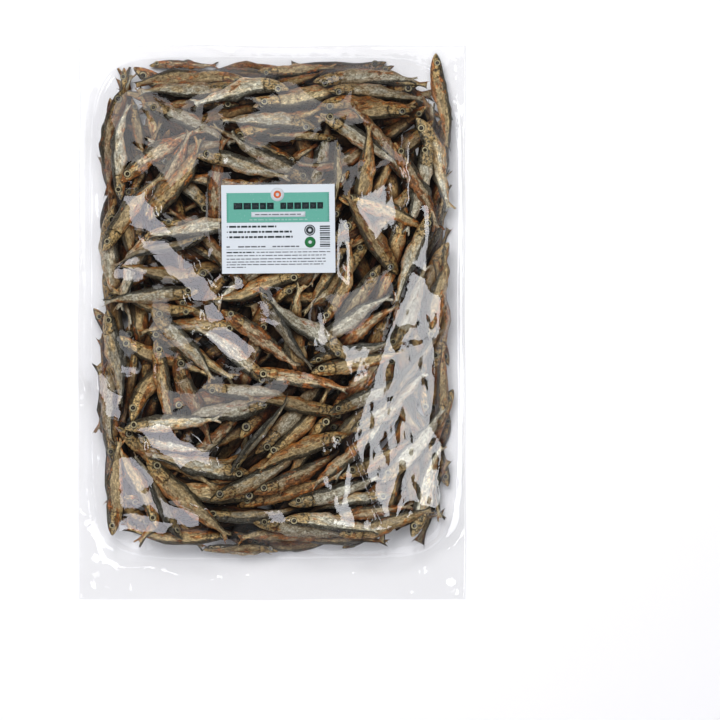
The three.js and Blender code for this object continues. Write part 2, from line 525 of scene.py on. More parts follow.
MIDDLE_RIGHT = (
    Shown((333, 344), (382, 317), bow=12, kind=Kind.TORN),
    Shown((325, 334), (376, 306), bow=-6),
    Shown((328, 358), (384, 341), bow=8, roll=30, kind=Kind.DARK),
    Shown((331, 368), (388, 354), bow=6, kind=Kind.BRONZE),
    Shown((272, 301), (300, 347), bow=14, roll=35, kind=Kind.DARK),
    Shown((327, 353), (284, 312), bow=-6),
    Shown((262, 372), (346, 381), bow=-6, back=Back.RIGHT, kind=Kind.TORN),
    Shown((311, 385), (366, 396), bow=-6),
    Shown((328, 410), (262, 401), bow=6, kind=Kind.BRONZE),
    Shown((349, 404), (396, 380), bow=10),
    Shown((398, 340), (420, 280), bow=10),
    Shown((436, 330), (448, 262), bow=-12, kind=Kind.BRONZE),
    Shown((360, 424), (420, 378), bow=14),
    Shown((402, 402), (440, 346), bow=-8, kind=Kind.DARK, roll=45),
)
LOWER_LEFT = (
    Shown((146, 507), (122, 458), bow=6, kind=Kind.BRONZE),
    Shown((176, 538), (134, 464), bow=6, kind=Kind.DARK, roll=45),
    Shown((152, 462), (229, 549), bow=10, kind=Kind.BRONZE),
    Shown((154, 429), (206, 421), bow=-8),
    Shown((251, 473), (151, 453), bow=-14),
    Shown((211, 499), (304, 445), bow=22),
    Shown((262, 494), (344, 448), bow=16, kind=Kind.TORN),
    Shown((239, 459), (284, 412), bow=-4, kind=Kind.DARK, roll=60),
    Shown((212, 536), (118, 528), bow=-16, back=Back.RIGHT, kind=Kind.BRONZE),
    Shown((221, 551), (122, 541), bow=-20, back=Back.RIGHT, kind=Kind.TORN),
    Shown((232, 556), (166, 520), bow=8, kind=Kind.DARK, roll=40),
    Shown((104, 440), (100, 388), bow=14),
    Shown((112, 520), (118, 470), bow=-10, kind=Kind.BRONZE),
)
LOWER_RIGHT = (
    Shown((342, 436), (262, 468), bow=18, kind=Kind.BRONZE),
    Shown((264, 533), (350, 541), bow=-10),
    Shown((234, 548), (296, 556), bow=10, kind=Kind.BRONZE),
    Shown((300, 500), (372, 478), bow=12),
    Shown((352, 470), (420, 436), bow=10, kind=Kind.BRONZE),
    Shown((330, 520), (404, 506), bow=-10, kind=Kind.TORN),
    Shown((390, 470), (440, 418), bow=14),
    Shown((440, 470), (452, 396), bow=-10, kind=Kind.BRONZE),
    Shown((420, 524), (446, 462), bow=-16),
    Shown((360, 548), (432, 530), bow=8, kind=Kind.BRONZE),
    Shown((298, 544), (388, 553), bow=-12, back=Back.RIGHT),
    Shown((446, 528), (372, 552), bow=10, kind=Kind.TORN),
)
SHOWN = TOP_EDGE + UPPER_LEFT + UPPER_RIGHT + MIDDLE_LEFT + MIDDLE_RIGHT + LOWER_LEFT + LOWER_RIGHT


@dataclass
class Heap:
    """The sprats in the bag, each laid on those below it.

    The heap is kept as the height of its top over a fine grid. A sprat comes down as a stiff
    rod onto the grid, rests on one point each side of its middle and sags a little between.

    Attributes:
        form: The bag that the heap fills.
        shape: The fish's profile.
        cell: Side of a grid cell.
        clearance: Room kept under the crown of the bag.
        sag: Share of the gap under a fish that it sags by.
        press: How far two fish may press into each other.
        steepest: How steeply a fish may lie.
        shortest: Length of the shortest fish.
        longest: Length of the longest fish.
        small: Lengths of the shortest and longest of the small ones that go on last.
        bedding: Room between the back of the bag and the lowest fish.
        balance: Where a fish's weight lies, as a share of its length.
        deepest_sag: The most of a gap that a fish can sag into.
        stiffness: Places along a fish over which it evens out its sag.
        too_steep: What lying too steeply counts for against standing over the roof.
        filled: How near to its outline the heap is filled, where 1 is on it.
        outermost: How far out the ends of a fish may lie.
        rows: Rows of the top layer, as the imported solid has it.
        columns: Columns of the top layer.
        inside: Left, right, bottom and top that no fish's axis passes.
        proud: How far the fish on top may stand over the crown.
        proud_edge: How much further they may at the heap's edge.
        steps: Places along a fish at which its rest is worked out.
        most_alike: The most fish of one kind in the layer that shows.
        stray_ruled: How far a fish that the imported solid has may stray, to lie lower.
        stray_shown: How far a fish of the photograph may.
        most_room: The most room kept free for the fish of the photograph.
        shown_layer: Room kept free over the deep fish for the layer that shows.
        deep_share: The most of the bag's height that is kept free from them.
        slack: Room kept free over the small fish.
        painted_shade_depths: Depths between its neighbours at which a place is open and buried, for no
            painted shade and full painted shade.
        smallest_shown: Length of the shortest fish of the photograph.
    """

    form: BagForm
    shape: SpratShape = field(default_factory=SpratShape)
    cell: float = 2 * MM
    clearance: float = 0.6 * MM
    sag: float = 0.5
    press: float = 0.7 * MM
    steepest: float = 0.2
    shortest: float = 86 * MM
    longest: float = 124 * MM
    small: tuple[float, float] = (58 * MM, 92 * MM)
    bedding: float = 0.5 * MM
    balance: float = 0.42
    deepest_sag: float = 7 * MM
    stiffness: int = 15
    too_steep: float = 0.05
    filled: float = 0.985
    outermost: float = 1.02
    rows: int = 13
    columns: int = 5
    inside: tuple[float, float, float, float] = (-165 * MM, 167 * MM, -210 * MM, 236 * MM)
    proud: float = 8 * MM
    proud_edge: float = 1 * MM
    steps: int = 56
    most_alike: int = 76
    stray_ruled: float = 3 * MM
    stray_shown: float = 2 * MM
    most_room: float = 21 * MM
    shown_layer: float = 11 * MM
    deep_share: float = 0.62
    slack: float = 2.5 * MM
    painted_shade_depths: tuple[float, float] = (-1.5 * MM, 7 * MM)
    smallest_shown: float = 88 * MM

    def __post_init__(self) -> None:
        """Set up the empty bag."""
        self.random = np.random.default_rng(SEED)
        self.share = np.linspace(0, 1, self.steps)
        self.across = np.linspace(-0.92, 0.92, 9)
        count_x = round(self.form.width / self.cell) + 1
        count_y = round(self.form.length / self.cell) + 1
        self.xs = (np.arange(count_x) - (count_x - 1) / 2) * self.cell
        self.ys = (np.arange(count_y) - (count_y - 1) / 2) * self.cell
        self.grid = np.meshgrid(self.xs, self.ys, indexing="ij")
        self.top = self.form.underside(*self.grid) + self.bedding
        self.roof = self.form.crown_height(*self.grid) - self.clearance
        self.base = np.full_like(self.top, np.inf)
        self.laid: list[Sprat] = []

    def cells(self, x: np.ndarray, y: np.ndarray) -> tuple[np.ndarray, np.ndarray]:
        """Give the grid cells of points in plan.

        Args:
            x: The points.
            y: The points.

        Returns:
            Their columns and rows.
        """
        column = np.rint((x - self.xs[0]) / self.cell).astype(int)
        row = np.rint((y - self.ys[0]) / self.cell).astype(int)
        return np.clip(column, 0, len(self.xs) - 1), np.clip(row, 0, len(self.ys) - 1)

    def samples(self, batch: Batch) -> tuple[np.ndarray, ...]:
        """Give the cells under a batch and the fish's faces there, measured from its axis.

        Args:
            batch: The sprats.

        Returns:
            Columns, rows, heights of the lower face and heights of the upper face, each as
            fish by place along the fish by place across it.
        """
        rise, drop, half = self.shape.profile(self.share[None, :], batch.spread[:, None] * 0.4)
        deep = (rise + drop) / 2 * (batch.length * batch.fat)[:, None]
        centre = (rise - drop) / 2 * (batch.length * batch.fat)[:, None]
        thick = half * (batch.length * batch.thin)[:, None]
        lean = batch.lean(self.share)
        cos, sin = np.cos(lean), np.sin(lean)
        reach = np.sqrt((deep * cos) ** 2 + (thick * sin) ** 2)
        shear = (deep**2 - thick**2) * sin * cos
        side = reach[..., None] * self.across
        tilt = shear[..., None] * side
        bulge = (deep * thick)[..., None] * np.sqrt(reach[..., None] ** 2 - side**2)
        square = reach[..., None] ** 2
        middle = (centre * sin)[..., None]
        x, y, turn = batch.track(self.share)
        offset = side + (centre * cos)[..., None]
        column, row = self.cells(
            x[..., None] - np.sin(turn)[..., None] * offset,
            y[..., None] + np.cos(turn)[..., None] * offset,
        )
        return column, row, middle + (tilt - bulge) / square, middle + (tilt + bulge) / square

    def balanced(self, support: np.ndarray, length: np.ndarray) -> tuple[np.ndarray, np.ndarray]:
        """Lay stiff rods so that each rests on one point each side of its balance.

        Args:
            support: The lowest that each rod can lie, rod by place along it.
            length: Lengths of the rods.

        Returns:
            Heights of the rods, and how much each would fall over its length if it lay free.
        """
        middle = int(self.balance * self.steps)
        left, right = slice(0, middle + 1), slice(middle + 1, self.steps)
        start, end = self.share[left][None, :, None], self.share[right][None, None, :]
        low, high = support[:, left, None], support[:, None, right]
        slope = (high - low) / (end - start)
        held = low + slope * (self.share[middle] - start)
        best = held.reshape(len(held), -1).argmax(1)
        pick = np.arange(len(held))
        slope = slope.reshape(len(held), -1)[pick, best]
        held = held.reshape(len(held), -1)[pick, best]
        steepest = self.steepest * length
        kept = np.clip(slope, -steepest, steepest)
        line = held[:, None] + kept[:, None] * (self.share - self.share[middle])[None, :]
        return line + np.maximum(0, (support - line).max(1))[:, None], slope

    def rest(self, batch: Batch) -> tuple[np.ndarray, np.ndarray, np.ndarray]:
        """Work out how a batch would come to rest, each fish alone.

        Args:
            batch: The sprats.

        Returns:
            Heights of the axes, how far each fish stands over the roof, and how high it lies
            against the roof on average.
        """
        column, row, lower, upper = self.samples(batch)
        support = (self.top[column, row] - lower).max(2)
        line, slope = self.balanced(support, batch.length)
        gap = np.minimum(line - support, self.deepest_sag)
        kernel = np.hanning(self.stiffness)
        kernel /= kernel.sum()
        ends = self.stiffness // 2
        eased = np.stack([np.convolve(np.pad(one, ends, "edge"), kernel, "valid") for one in gap])
        lift = line - self.sag * np.maximum(eased, 0)
        short = (support - lift).max(1) - self.press
        lift += np.maximum(short, 0)[:, None]
        stands = lift[..., None] + upper - self.roof[column, row]
        over = stands.max((1, 2))
        over += np.maximum(0, np.abs(slope) / batch.length - self.steepest) * self.too_steep
        return lift, over, stands.mean((1, 2))

    def outside(self, batch: Batch) -> np.ndarray:
        """Give how far the ends of each fish of a batch stand out of the heap's outline."""
        x, y, _ = batch.track(np.array([0.0, 0.5, 1.0]))
        return np.maximum(0, self.form.reach(x, y) - self.outermost).max(1)

    def tried(self, batch: Batch) -> tuple[np.ndarray, np.ndarray, np.ndarray]:
        """Give what rest gives, with a fish that sticks out of the heap counted as standing over."""
        lift, over, level = self.rest(batch)
        return lift, over + self.outside(batch), level

    def settle(self, one: Batch, lift: np.ndarray, kind: Kind, top: bool) -> None:
        """Lay one sprat for good.

        Args:
            one: The sprat, as a batch of one.
            lift: Heights of its axis.
            kind: How it dried.
            top: Whether it belongs to the layer that shows.
        """
        column, row, lower, upper = self.samples(one)
        np.maximum.at(self.top, (column[0], row[0]), lift[:, None] + upper[0])
        np.minimum.at(self.base, (column[0], row[0]), lift[:, None] + lower[0])
        alike = sum(sprat.kind is kind and sprat.top for sprat in self.laid)
        kind = Kind.GOLDEN if alike >= self.most_alike else kind
        self.laid.append(Sprat(one, lift, len(self.laid), kind, top))

    def lay_lowest(self, batch: Batch, allowance: float, top: bool) -> bool:
        """Lay the one fish of a batch that comes to lie lowest.

        Args:
            batch: The sprats that are tried.
            allowance: How far it may stand over the roof or out of the heap.
            top: Whether it belongs to the layer that shows.

        Returns:
            Whether there was room for one.
        """
        lift, over, level = self.tried(batch)
        best = int(np.argmin(np.where(over < allowance, level, np.inf)))
        if over[best] >= allowance:
            return False
        one = batch.pick(best)
        self.settle(one, lift[best], self.kind_of(one), top)
        return True

    @contextmanager
    def lowered(self, room: np.ndarray) -> Iterator[None]:
        """Keep room free under the roof while fish are laid.

        Args:
            room: The room over the grid.

        Yields:
            Nothing.
        """
        full = self.roof
        self.roof = full - room
        yield
        self.roof = full

    def heading(self, x: np.ndarray, y: np.ndarray, loose: np.ndarray) -> np.ndarray:
        """Give the way a sprat lies at a place.

        Args:
            x: Place on the bag.
            y: Place on the bag.
            loose: How far each fish strays, in degrees.

        Returns:
            The direction in radians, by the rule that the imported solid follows.
        """
        across = (x - self.form.heap_x) / self.form.half_width
        along = (y - self.form.heap_y) / self.form.half_length
        swirl = 24 + 46 * np.sin(2.3 * across + 0.5) - 24 * np.sin(2.6 * along)
        sideways = np.abs(across) > np.abs(along) * 0.96
        edge = np.where(sideways, 90 - 14 * across, -6 * across)
        hold = smooth(self.form.reach(x, y), 0.62, 0.9)
        return np.radians((swirl + loose) * (1 - hold) + (edge + loose * 0.22) * hold)

    def build(self, x: np.ndarray, y: np.ndarray, heading: np.ndarray) -> Batch:
        """Draw the build of sprats that lie at given places.

        Args:
            x: Middles of the fish.
            y: Middles of the fish.
            heading: Directions of the fish.

        Returns:
            The batch.
        """
        count = len(x)
        random = self.random
        rolled = random.random(count) < 0.16
        steep = random.uniform(30, 75, count) * np.where(random.random(count) < 0.7, 1, -1)
        roll = np.where(rolled, steep, random.normal(2, 13, count))
        return Batch(
            x=x,
            y=y,
            heading=heading + np.where(random.random(count) < 0.5, math.pi, 0.0),
            bow=random.normal(0, 0.4, count) * np.where(random.random(count) < 0.25, 2.2, 1),
            sway=random.normal(0, 0.014, count),
            roll=np.radians(roll),
            twist=np.radians(random.normal(0, 14, count)),
            length=random.uniform(self.shortest, self.longest, count),
            fat=random.uniform(0.84, 1.26, count),
            thin=random.uniform(0.85, 1.15, count),
            back=np.where(random.random(count) < 0.5, 1, -1),
            spread=random.uniform(0.15, 0.8, count),
        )

    def kind_of(self, one: Batch) -> Kind:
        """Draw how a sprat dried.

        Args:
            one: The sprat, as a batch of one.

        Returns:
            Its kind.
        """
        if abs(math.degrees(one.roll[0])) > 30:
            return Kind.DARK
        return (Kind.SILVER, Kind.GOLDEN, Kind.BRONZE, Kind.TORN)[self.random.integers(4)]

    def fill(self, roof_drop: np.ndarray, top: bool, most: int, tries: int = 60) -> int:
        """Lay sprats where there is most room, until no more fit.

        Args:
            roof_drop: Room to keep free under the roof, over the grid.
            top: Whether the sprats belong to the layer that shows.
            most: The most sprats to lay.
            tries: Sprats tried for each one laid.

        Returns:
            The number of sprats laid.
        """
        most_misses, thinnest, shoulder, allowance = 24, 5 * MM, 0.86, 0.8 * MM
        reach = self.form.reach(*self.grid)
        misses = laid = 0
        with self.lowered(roof_drop):
            while misses < most_misses and laid < most:
                free = np.flatnonzero((reach < self.filled) & (self.roof - self.top > thinnest))
                if not len(free):
                    break
                outer = free[reach.ravel()[free] > shoulder]
                outer = outer if len(outer) else free
                choice = [self.random.choice(free, tries), self.random.choice(outer, tries // 3)]
                x, y = (axis.ravel()[np.concatenate(choice)] for axis in self.grid)
                loose = self.random.normal(0, 34, len(x))
                fits = self.lay_lowest(self.build(x, y, self.heading(x, y, loose)), allowance, top)
                laid += fits
                misses = 0 if fits else misses + 1
        return laid

    def cover(self, most: int = 60, tries: int = 40, allowance: float = 2 * MM) -> int:
        """Lay sprats where the bag's back would still show.

        Args:
            most: The most sprats to lay.
            tries: Sprats tried for each one laid.
            allowance: How far each may stand over the roof or out of the heap.

        Returns:
            The number of sprats laid.
        """
        least, inner, fewest = 2 * MM, 0.93, 12
        bare = self.form.underside(*self.grid) + least
        inside = self.form.reach(*self.grid) < inner
        laid = 0
        for _ in range(most):
            free = np.flatnonzero(inside & (self.top < bare))
            if len(free) < fewest:
                break
            choice = self.random.choice(free, tries)
            x, y = (axis.ravel()[choice] for axis in self.grid)
            batch = self.build(x, y, self.heading(x, y, self.random.normal(0, 60, tries)))
            batch = replace(batch, roll=batch.roll * 0.3, length=batch.length * 0.85)
            lift, over, _ = self.tried(batch)
            column, row, _, _ = self.samples(batch)
            covered = (self.top[column, row] < bare[column, row]).mean((1, 2))
            best = int(np.argmax(np.where(over < allowance, covered, -1.0)))
            if over[best] < allowance:
                self.settle(batch.pick(best), lift[best], Kind.UNDER, False)
                laid += 1
        return laid

    def kept_in(self, batch: Batch) -> Batch:
        """Move each fish of a batch that stands out of the film back inside it.

        Args:
            batch: The sprats.

        Returns:
            The batch with those fish moved.
        """
        x, y, _ = batch.track(np.linspace(0, 1, 9))
        left, right, bottom, top = self.inside
        aside = np.maximum(0, left - x.min(1)) - np.maximum(0, x.max(1) - right)
        along = np.maximum(0, bottom - y.min(1)) - np.maximum(0, y.max(1) - top)
        return replace(batch, x=batch.x + aside, y=batch.y + along)

    def by_rule(self, room: np.ndarray, tries: int = 16, allowance: float = 2.5 * MM) -> int:
        """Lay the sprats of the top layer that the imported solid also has.

        Args:
            room: Room to keep free for later fish, over the grid.
            tries: Sprats tried for each one laid.
            allowance: How far each may stand over the roof or out of the heap.

        Returns:
            The number of sprats laid.
        """
        laid = 0
        with self.lowered(room * 0.9):
            for count in range(1, self.rows * self.columns + 1):
                row, column = divmod(count - 1, self.columns)
                across = (column + 0.5 + (draw(count, 1) - 0.5) * 0.7) / self.columns * 2 - 1
                along = (row + 0.5 + (draw(count, 2) - 0.5) * 0.8) / self.rows * 2 - 1
                x = self.form.heap_x + across * self.form.half_width * self.filled
                y = self.form.heap_y + along * self.form.half_length * self.filled
                xs = x + self.random.normal(0, self.stray_ruled, tries)
                ys = y + self.random.normal(0, self.stray_ruled, tries)
                loose = np.full(tries, (draw(count, 3) - 0.5) * 96)
                batch = self.build(xs, ys, self.heading(xs, ys, loose))
                lift, over, _ = self.tried(batch)
                best = int(np.argmin(over))
                if over[best] <= allowance:
                    one = batch.pick(best)
                    self.settle(one, lift[best], self.kind_of(one), True)
                    laid += 1
        return laid

    def by_edge(self, at: np.ndarray) -> tuple[np.ndarray, np.ndarray, np.ndarray]:
        """Give places just inside the heap's outline.

        Args:
            at: How far round the heap they are, from its upper left corner.

        Returns:
            X, Y and the direction of the outline there.
        """
        wide, long = self.form.half_width, self.form.half_length
        side = (at % (4 * (wide + long))) / (2 * (wide + long))
        share = (side % 1) * (wide + long) / wide
        across = np.where(share < 1, 2 * share - 1, 1)
        along = np.where(share < 1, 1, 1 - 2 * (share - 1) * wide / long)
        turned = np.where(side < 1, 1, -1)
        x, y = turned * across * wide, turned * along * long
        inset = self.random.uniform(0.84, 0.99, len(at))
        reach = self.form.reach(x + self.form.heap_x, y + self.form.heap_y)
        x = self.form.heap_x + x / reach * inset
        y = self.form.heap_y + y / reach * inset
        return x, y, np.where(share < 1, 0.0, math.pi / 2)

    def along_edge(self, layers: int, room: np.ndarray, tries: int = 20, allowance: float = 1.5 * MM) -> int:
        """Lay sprats along the heap's outline, as they settle against the seals.

        Args:
            layers: How many rounds are laid.
            room: Room to keep free for later fish, over the grid.
            tries: Sprats tried for each one laid.
            allowance: How far each may stand over the roof or out of the heap.

        Returns:
            The number of sprats laid.
        """
        laid = 0
        total = 4 * (self.form.half_width + self.form.half_length)
        apart, stray = 62 * MM, 24
        with self.lowered(room):
            for layer in range(layers):
                for step in np.arange(0, total, apart):
                    x, y, tangent = self.by_edge(step + self.random.uniform(-stray, stray, tries) * MM)
                    batch = self.build(x, y, tangent + self.random.normal(0, 0.62, tries))
                    batch = replace(batch, length=batch.length * 0.9)
                    laid += self.lay_lowest(batch, allowance, layer == layers - 1)
        return laid

    def shown_batch(self, shown: Shown) -> Batch:
        """Place a sprat of the photograph.

        Args:
            shown: Where it lies and how.

        Returns:
            The sprat, as a batch of one.
        """
        head, tail = spot(shown.head), spot(shown.tail)
        run = (tail[0] - head[0], tail[1] - head[1])
        chord = math.hypot(*run)
        bow = math.radians(shown.bow)
        heading = math.atan2(run[1], run[0])
        middle = ((head[0] + tail[0]) / 2, (head[1] + tail[1]) / 2)
        dip = bow * chord / 8
        one = self.build(np.array([middle[0]]), np.array([middle[1]]), np.array([heading]))
        one = replace(
            one,
            x=np.array([middle[0] + math.sin(heading) * dip]),
            y=np.array([middle[1] - math.cos(heading) * dip]),
            heading=np.array([heading]),
            bow=np.array([bow]),
            roll=np.radians(np.array([shown.roll]) + self.random.normal(0, 5, 1)),
            length=np.array([max(chord, self.smallest_shown)]),
            fat=self.random.uniform(1.0, 1.32, 1),
            back=np.array([shown.back.value]),
        )
        return self.kept_in(one)

    def shown_room(self) -> np.ndarray:
        """Give the room to keep free for the sprats of the photograph.

        Returns:
            The room over the grid.
        """
        room = np.zeros_like(self.top)
        for shown in SHOWN:
            column, row, lower, upper = self.samples(self.shown_batch(shown))
            thick = np.zeros_like(room)
            np.maximum.at(thick, (column[0], row[0]), (upper - lower)[0])
            room += thick * 0.9
        lower = 0.15 * smooth(self.form.reach(*self.grid), 0.82, 0.96)
        return np.minimum(room, self.most_room) * (1 - lower)

    def lay_shown(self, tries: int = 60, inward: float = 20 * MM, steepest: float = 0.35) -> int:
        """Lay the sprats that stand out in the photograph, on top of the others.

        Args:
            tries: Places close by that are tried for each, for the lowest.
            inward: How far one at the edge may move to the middle.
            steepest: How steeply they may lie.

        Returns:
            The number of sprats laid.
        """
        laid = 0
        usual, self.steepest = self.steepest, steepest
        for shown in SHOWN:
            many = self.shown_batch(shown).repeated(tries)
            many.x[1:] += self.random.normal(0, self.stray_shown, tries - 1)
            many.y[1:] += self.random.normal(0, self.stray_shown, tries - 1)
            many.heading[1:] += self.random.normal(0, 0.06, tries - 1)
            outer = smooth(self.form.reach(many.x, many.y), 0.6, 0.85)
            moved = self.random.uniform(0, inward, tries) * outer
            moved[0] = 0.0
            far = np.hypot(many.x - self.form.heap_x, many.y - self.form.heap_y)
            many.x -= (many.x - self.form.heap_x) / far * moved
            many.y -= (many.y - self.form.heap_y) / far * moved
            lift, over, _ = self.rest(many)
            over -= self.proud_edge * outer
            best = int(np.argmin(np.maximum(over, self.proud / 2) + 0.3 * moved))
            if over[best] > self.proud:
                continue
            self.settle(many.pick(best), lift[best], shown.kind, True)
            laid += 1
        self.steepest = usual
        return laid

    def pile(self) -> None:
        """Fill the bag."""
        room = self.shown_room()
        edge = self.along_edge(3, room)
        tall = (self.roof - self.top) * self.deep_share
        deep = self.fill(np.minimum(room + self.shown_layer, tall), top=False, most=420) + self.cover()
        ruled = self.by_rule(room)
        upper = self.fill(room, top=True, most=160)
        shown = self.lay_shown()
        self.shortest, self.longest = self.small
        small = self.fill(np.full_like(room, self.slack), top=True, most=60)
        LOG.info("sprats: %d edge, %d deep, %d by rule", edge, deep, ruled)
        LOG.info("sprats: %d upper, %d shown, %d small", upper, shown, small)
        self.level_top = blurred(self.top, 2.5)
        self.level_base = blurred(np.where(np.isfinite(self.base), self.base, self.top), 2.5)

    def sunk(self, points: np.ndarray) -> np.ndarray:
        """Give how deep points lie between the fish round them, which the skin paints as shade.

        Args:
            points: The points, in a grid of any shape.

        Returns:
            Their depths, from 0 to 1, in the same shape.
        """
        column, row = self.cells(points[..., 0], points[..., 1])
        below = self.level_top[column, row] - points[..., 2]
        above = points[..., 2] - self.level_base[column, row]
        # 0 where a point is open, 1 where it is buried: the share of painted shade on the skin there
        return smooth(np.minimum(below, above), *self.painted_shade_depths)


class Graph:
    """A node tree with short calls for the nodes that the finishes share."""

    def __init__(self, tree: bpy.types.NodeTree) -> None:
        """Keep the tree."""
        self.tree = tree

    def add(self, kind: str, inputs: dict | None = None, **settings: object) -> bpy.types.Node:
        """Add a node.

        Args:
            kind: The node's type.
            inputs: Values or sockets for its inputs, by name or index.
            settings: Values for its own properties.

        Returns:
            The node.
        """
        node = self.tree.nodes.new(kind)
        for name, value in settings.items():
            setattr(node, name, value)
        for name, value in (inputs or {}).items():
            self.feed(node.inputs[name], value)
        return node

    def feed(self, socket: bpy.types.NodeSocket, value: object) -> None:
        """Link a socket to an input, or set the input's value.

        Args:
            socket: The input.
            value: A socket or a value.
        """
        if isinstance(value, bpy.types.NodeSocket):
            self.tree.links.new(value, socket)
        else:
            socket.default_value = value

    def math(self, operation: str, *values: object, clamp: bool = False) -> bpy.types.NodeSocket:
        """Give the result of a sum.

        Args:
            operation: The sum.
            values: Values or sockets.
            clamp: Whether the result is kept from 0 to 1.

        Returns:
            The result.
        """
        node = self.add("ShaderNodeMath", dict(enumerate(values)), operation=operation)
        node.use_clamp = clamp
        return node.outputs[0]

    def ease(self, value: object, low: float, high: float) -> bpy.types.NodeSocket:
        """Give a mask that rises from 0 to 1, or falls where high is below low.

        Args:
            value: A value or socket.
            low: Where the mask is 0.
            high: Where it is 1.

        Returns:
            The mask.
        """
        inputs = {"Value": value, "From Min": low, "From Max": high}
        node = self.add("ShaderNodeMapRange", inputs, interpolation_type="SMOOTHSTEP")
        return node.outputs[0]

    def mix(self, share: object, first: object, second: object) -> bpy.types.NodeSocket:
        """Give a colour between two."""
        node = self.add("ShaderNodeMix", {0: share, 6: first, 7: second}, data_type="RGBA")
        return node.outputs[2]

    def scaled(self, colour: object, amount: object) -> bpy.types.NodeSocket:
        """Give a colour times a number."""
        node = self.add("ShaderNodeVectorMath", {0: colour, 3: amount}, operation="SCALE")
        return node.outputs[0]

    def noise(
        self, vector: object, scale: float, detail: float = 3.0, rough: float = 0.55
    ) -> bpy.types.NodeSocket:
        """Give cloudy noise."""
        inputs = {"Vector": vector, "Scale": scale, "Detail": detail, "Roughness": rough}
        return self.add("ShaderNodeTexNoise", inputs).outputs[0]

    def stretched(self, vector: object, scale: object) -> bpy.types.NodeSocket:
        """Give coordinates scaled along each axis, or a colour times another."""
        node = self.add("ShaderNodeVectorMath", {0: vector, 1: scale}, operation="MULTIPLY")
        return node.outputs[0]

    def times(self, value: object, mask: object, more: float, base: float) -> bpy.types.NodeSocket:
        """Give a value times base, and times that much more where the mask is 1."""
        return self.math("MULTIPLY", value, self.math("MULTIPLY_ADD", mask, more, base))

    def attribute(self, name: str) -> bpy.types.NodeSocket:
        """Give a vector that the mesh holds at its points."""
        return self.add("ShaderNodeAttribute", attribute_name=name).outputs["Vector"]

    def split(self, vector: object) -> list[bpy.types.NodeSocket]:
        """Give the three numbers of a vector."""
        return list(self.add("ShaderNodeSeparateXYZ", {0: vector}).outputs)

    def cells(self, vector: object, scale: float, **settings: object) -> tuple[bpy.types.NodeSocket, object]:
        """Give a pattern of cells.

        Args:
            vector: Places.
            scale: How many cells there are to a metre.
            settings: Values for the node's own properties.

        Returns:
            The distances in the pattern, and a draw for each cell.
        """
        node = self.add("ShaderNodeTexVoronoi", {"Vector": vector, "Scale": scale}, **settings)
        own = self.add("ShaderNodeSeparateColor", {0: node.outputs["Color"]}).outputs[0]
        return node.outputs["Distance"], own

    def bump(self, height: object, strength: float, distance: float) -> bpy.types.NodeSocket:
        """Give a normal from a height."""
        inputs = {"Height": height, "Strength": strength, "Distance": distance}
        return self.add("ShaderNodeBump", inputs).outputs[0]

    def show(self, shader: bpy.types.Node) -> None:
        """Let the material show a shader."""
        self.add("ShaderNodeOutputMaterial", {"Surface": shader.outputs[0]})


def new_material(name: str) -> tuple[bpy.types.Material, Graph]:
    """Make an empty material.

    Args:
        name: The material's name.

    Returns:
        The material and its graph.
    """
    material = bpy.data.materials.new(name)
    material.use_nodes = True
    material.node_tree.nodes.clear()
    return material, Graph(material.node_tree)


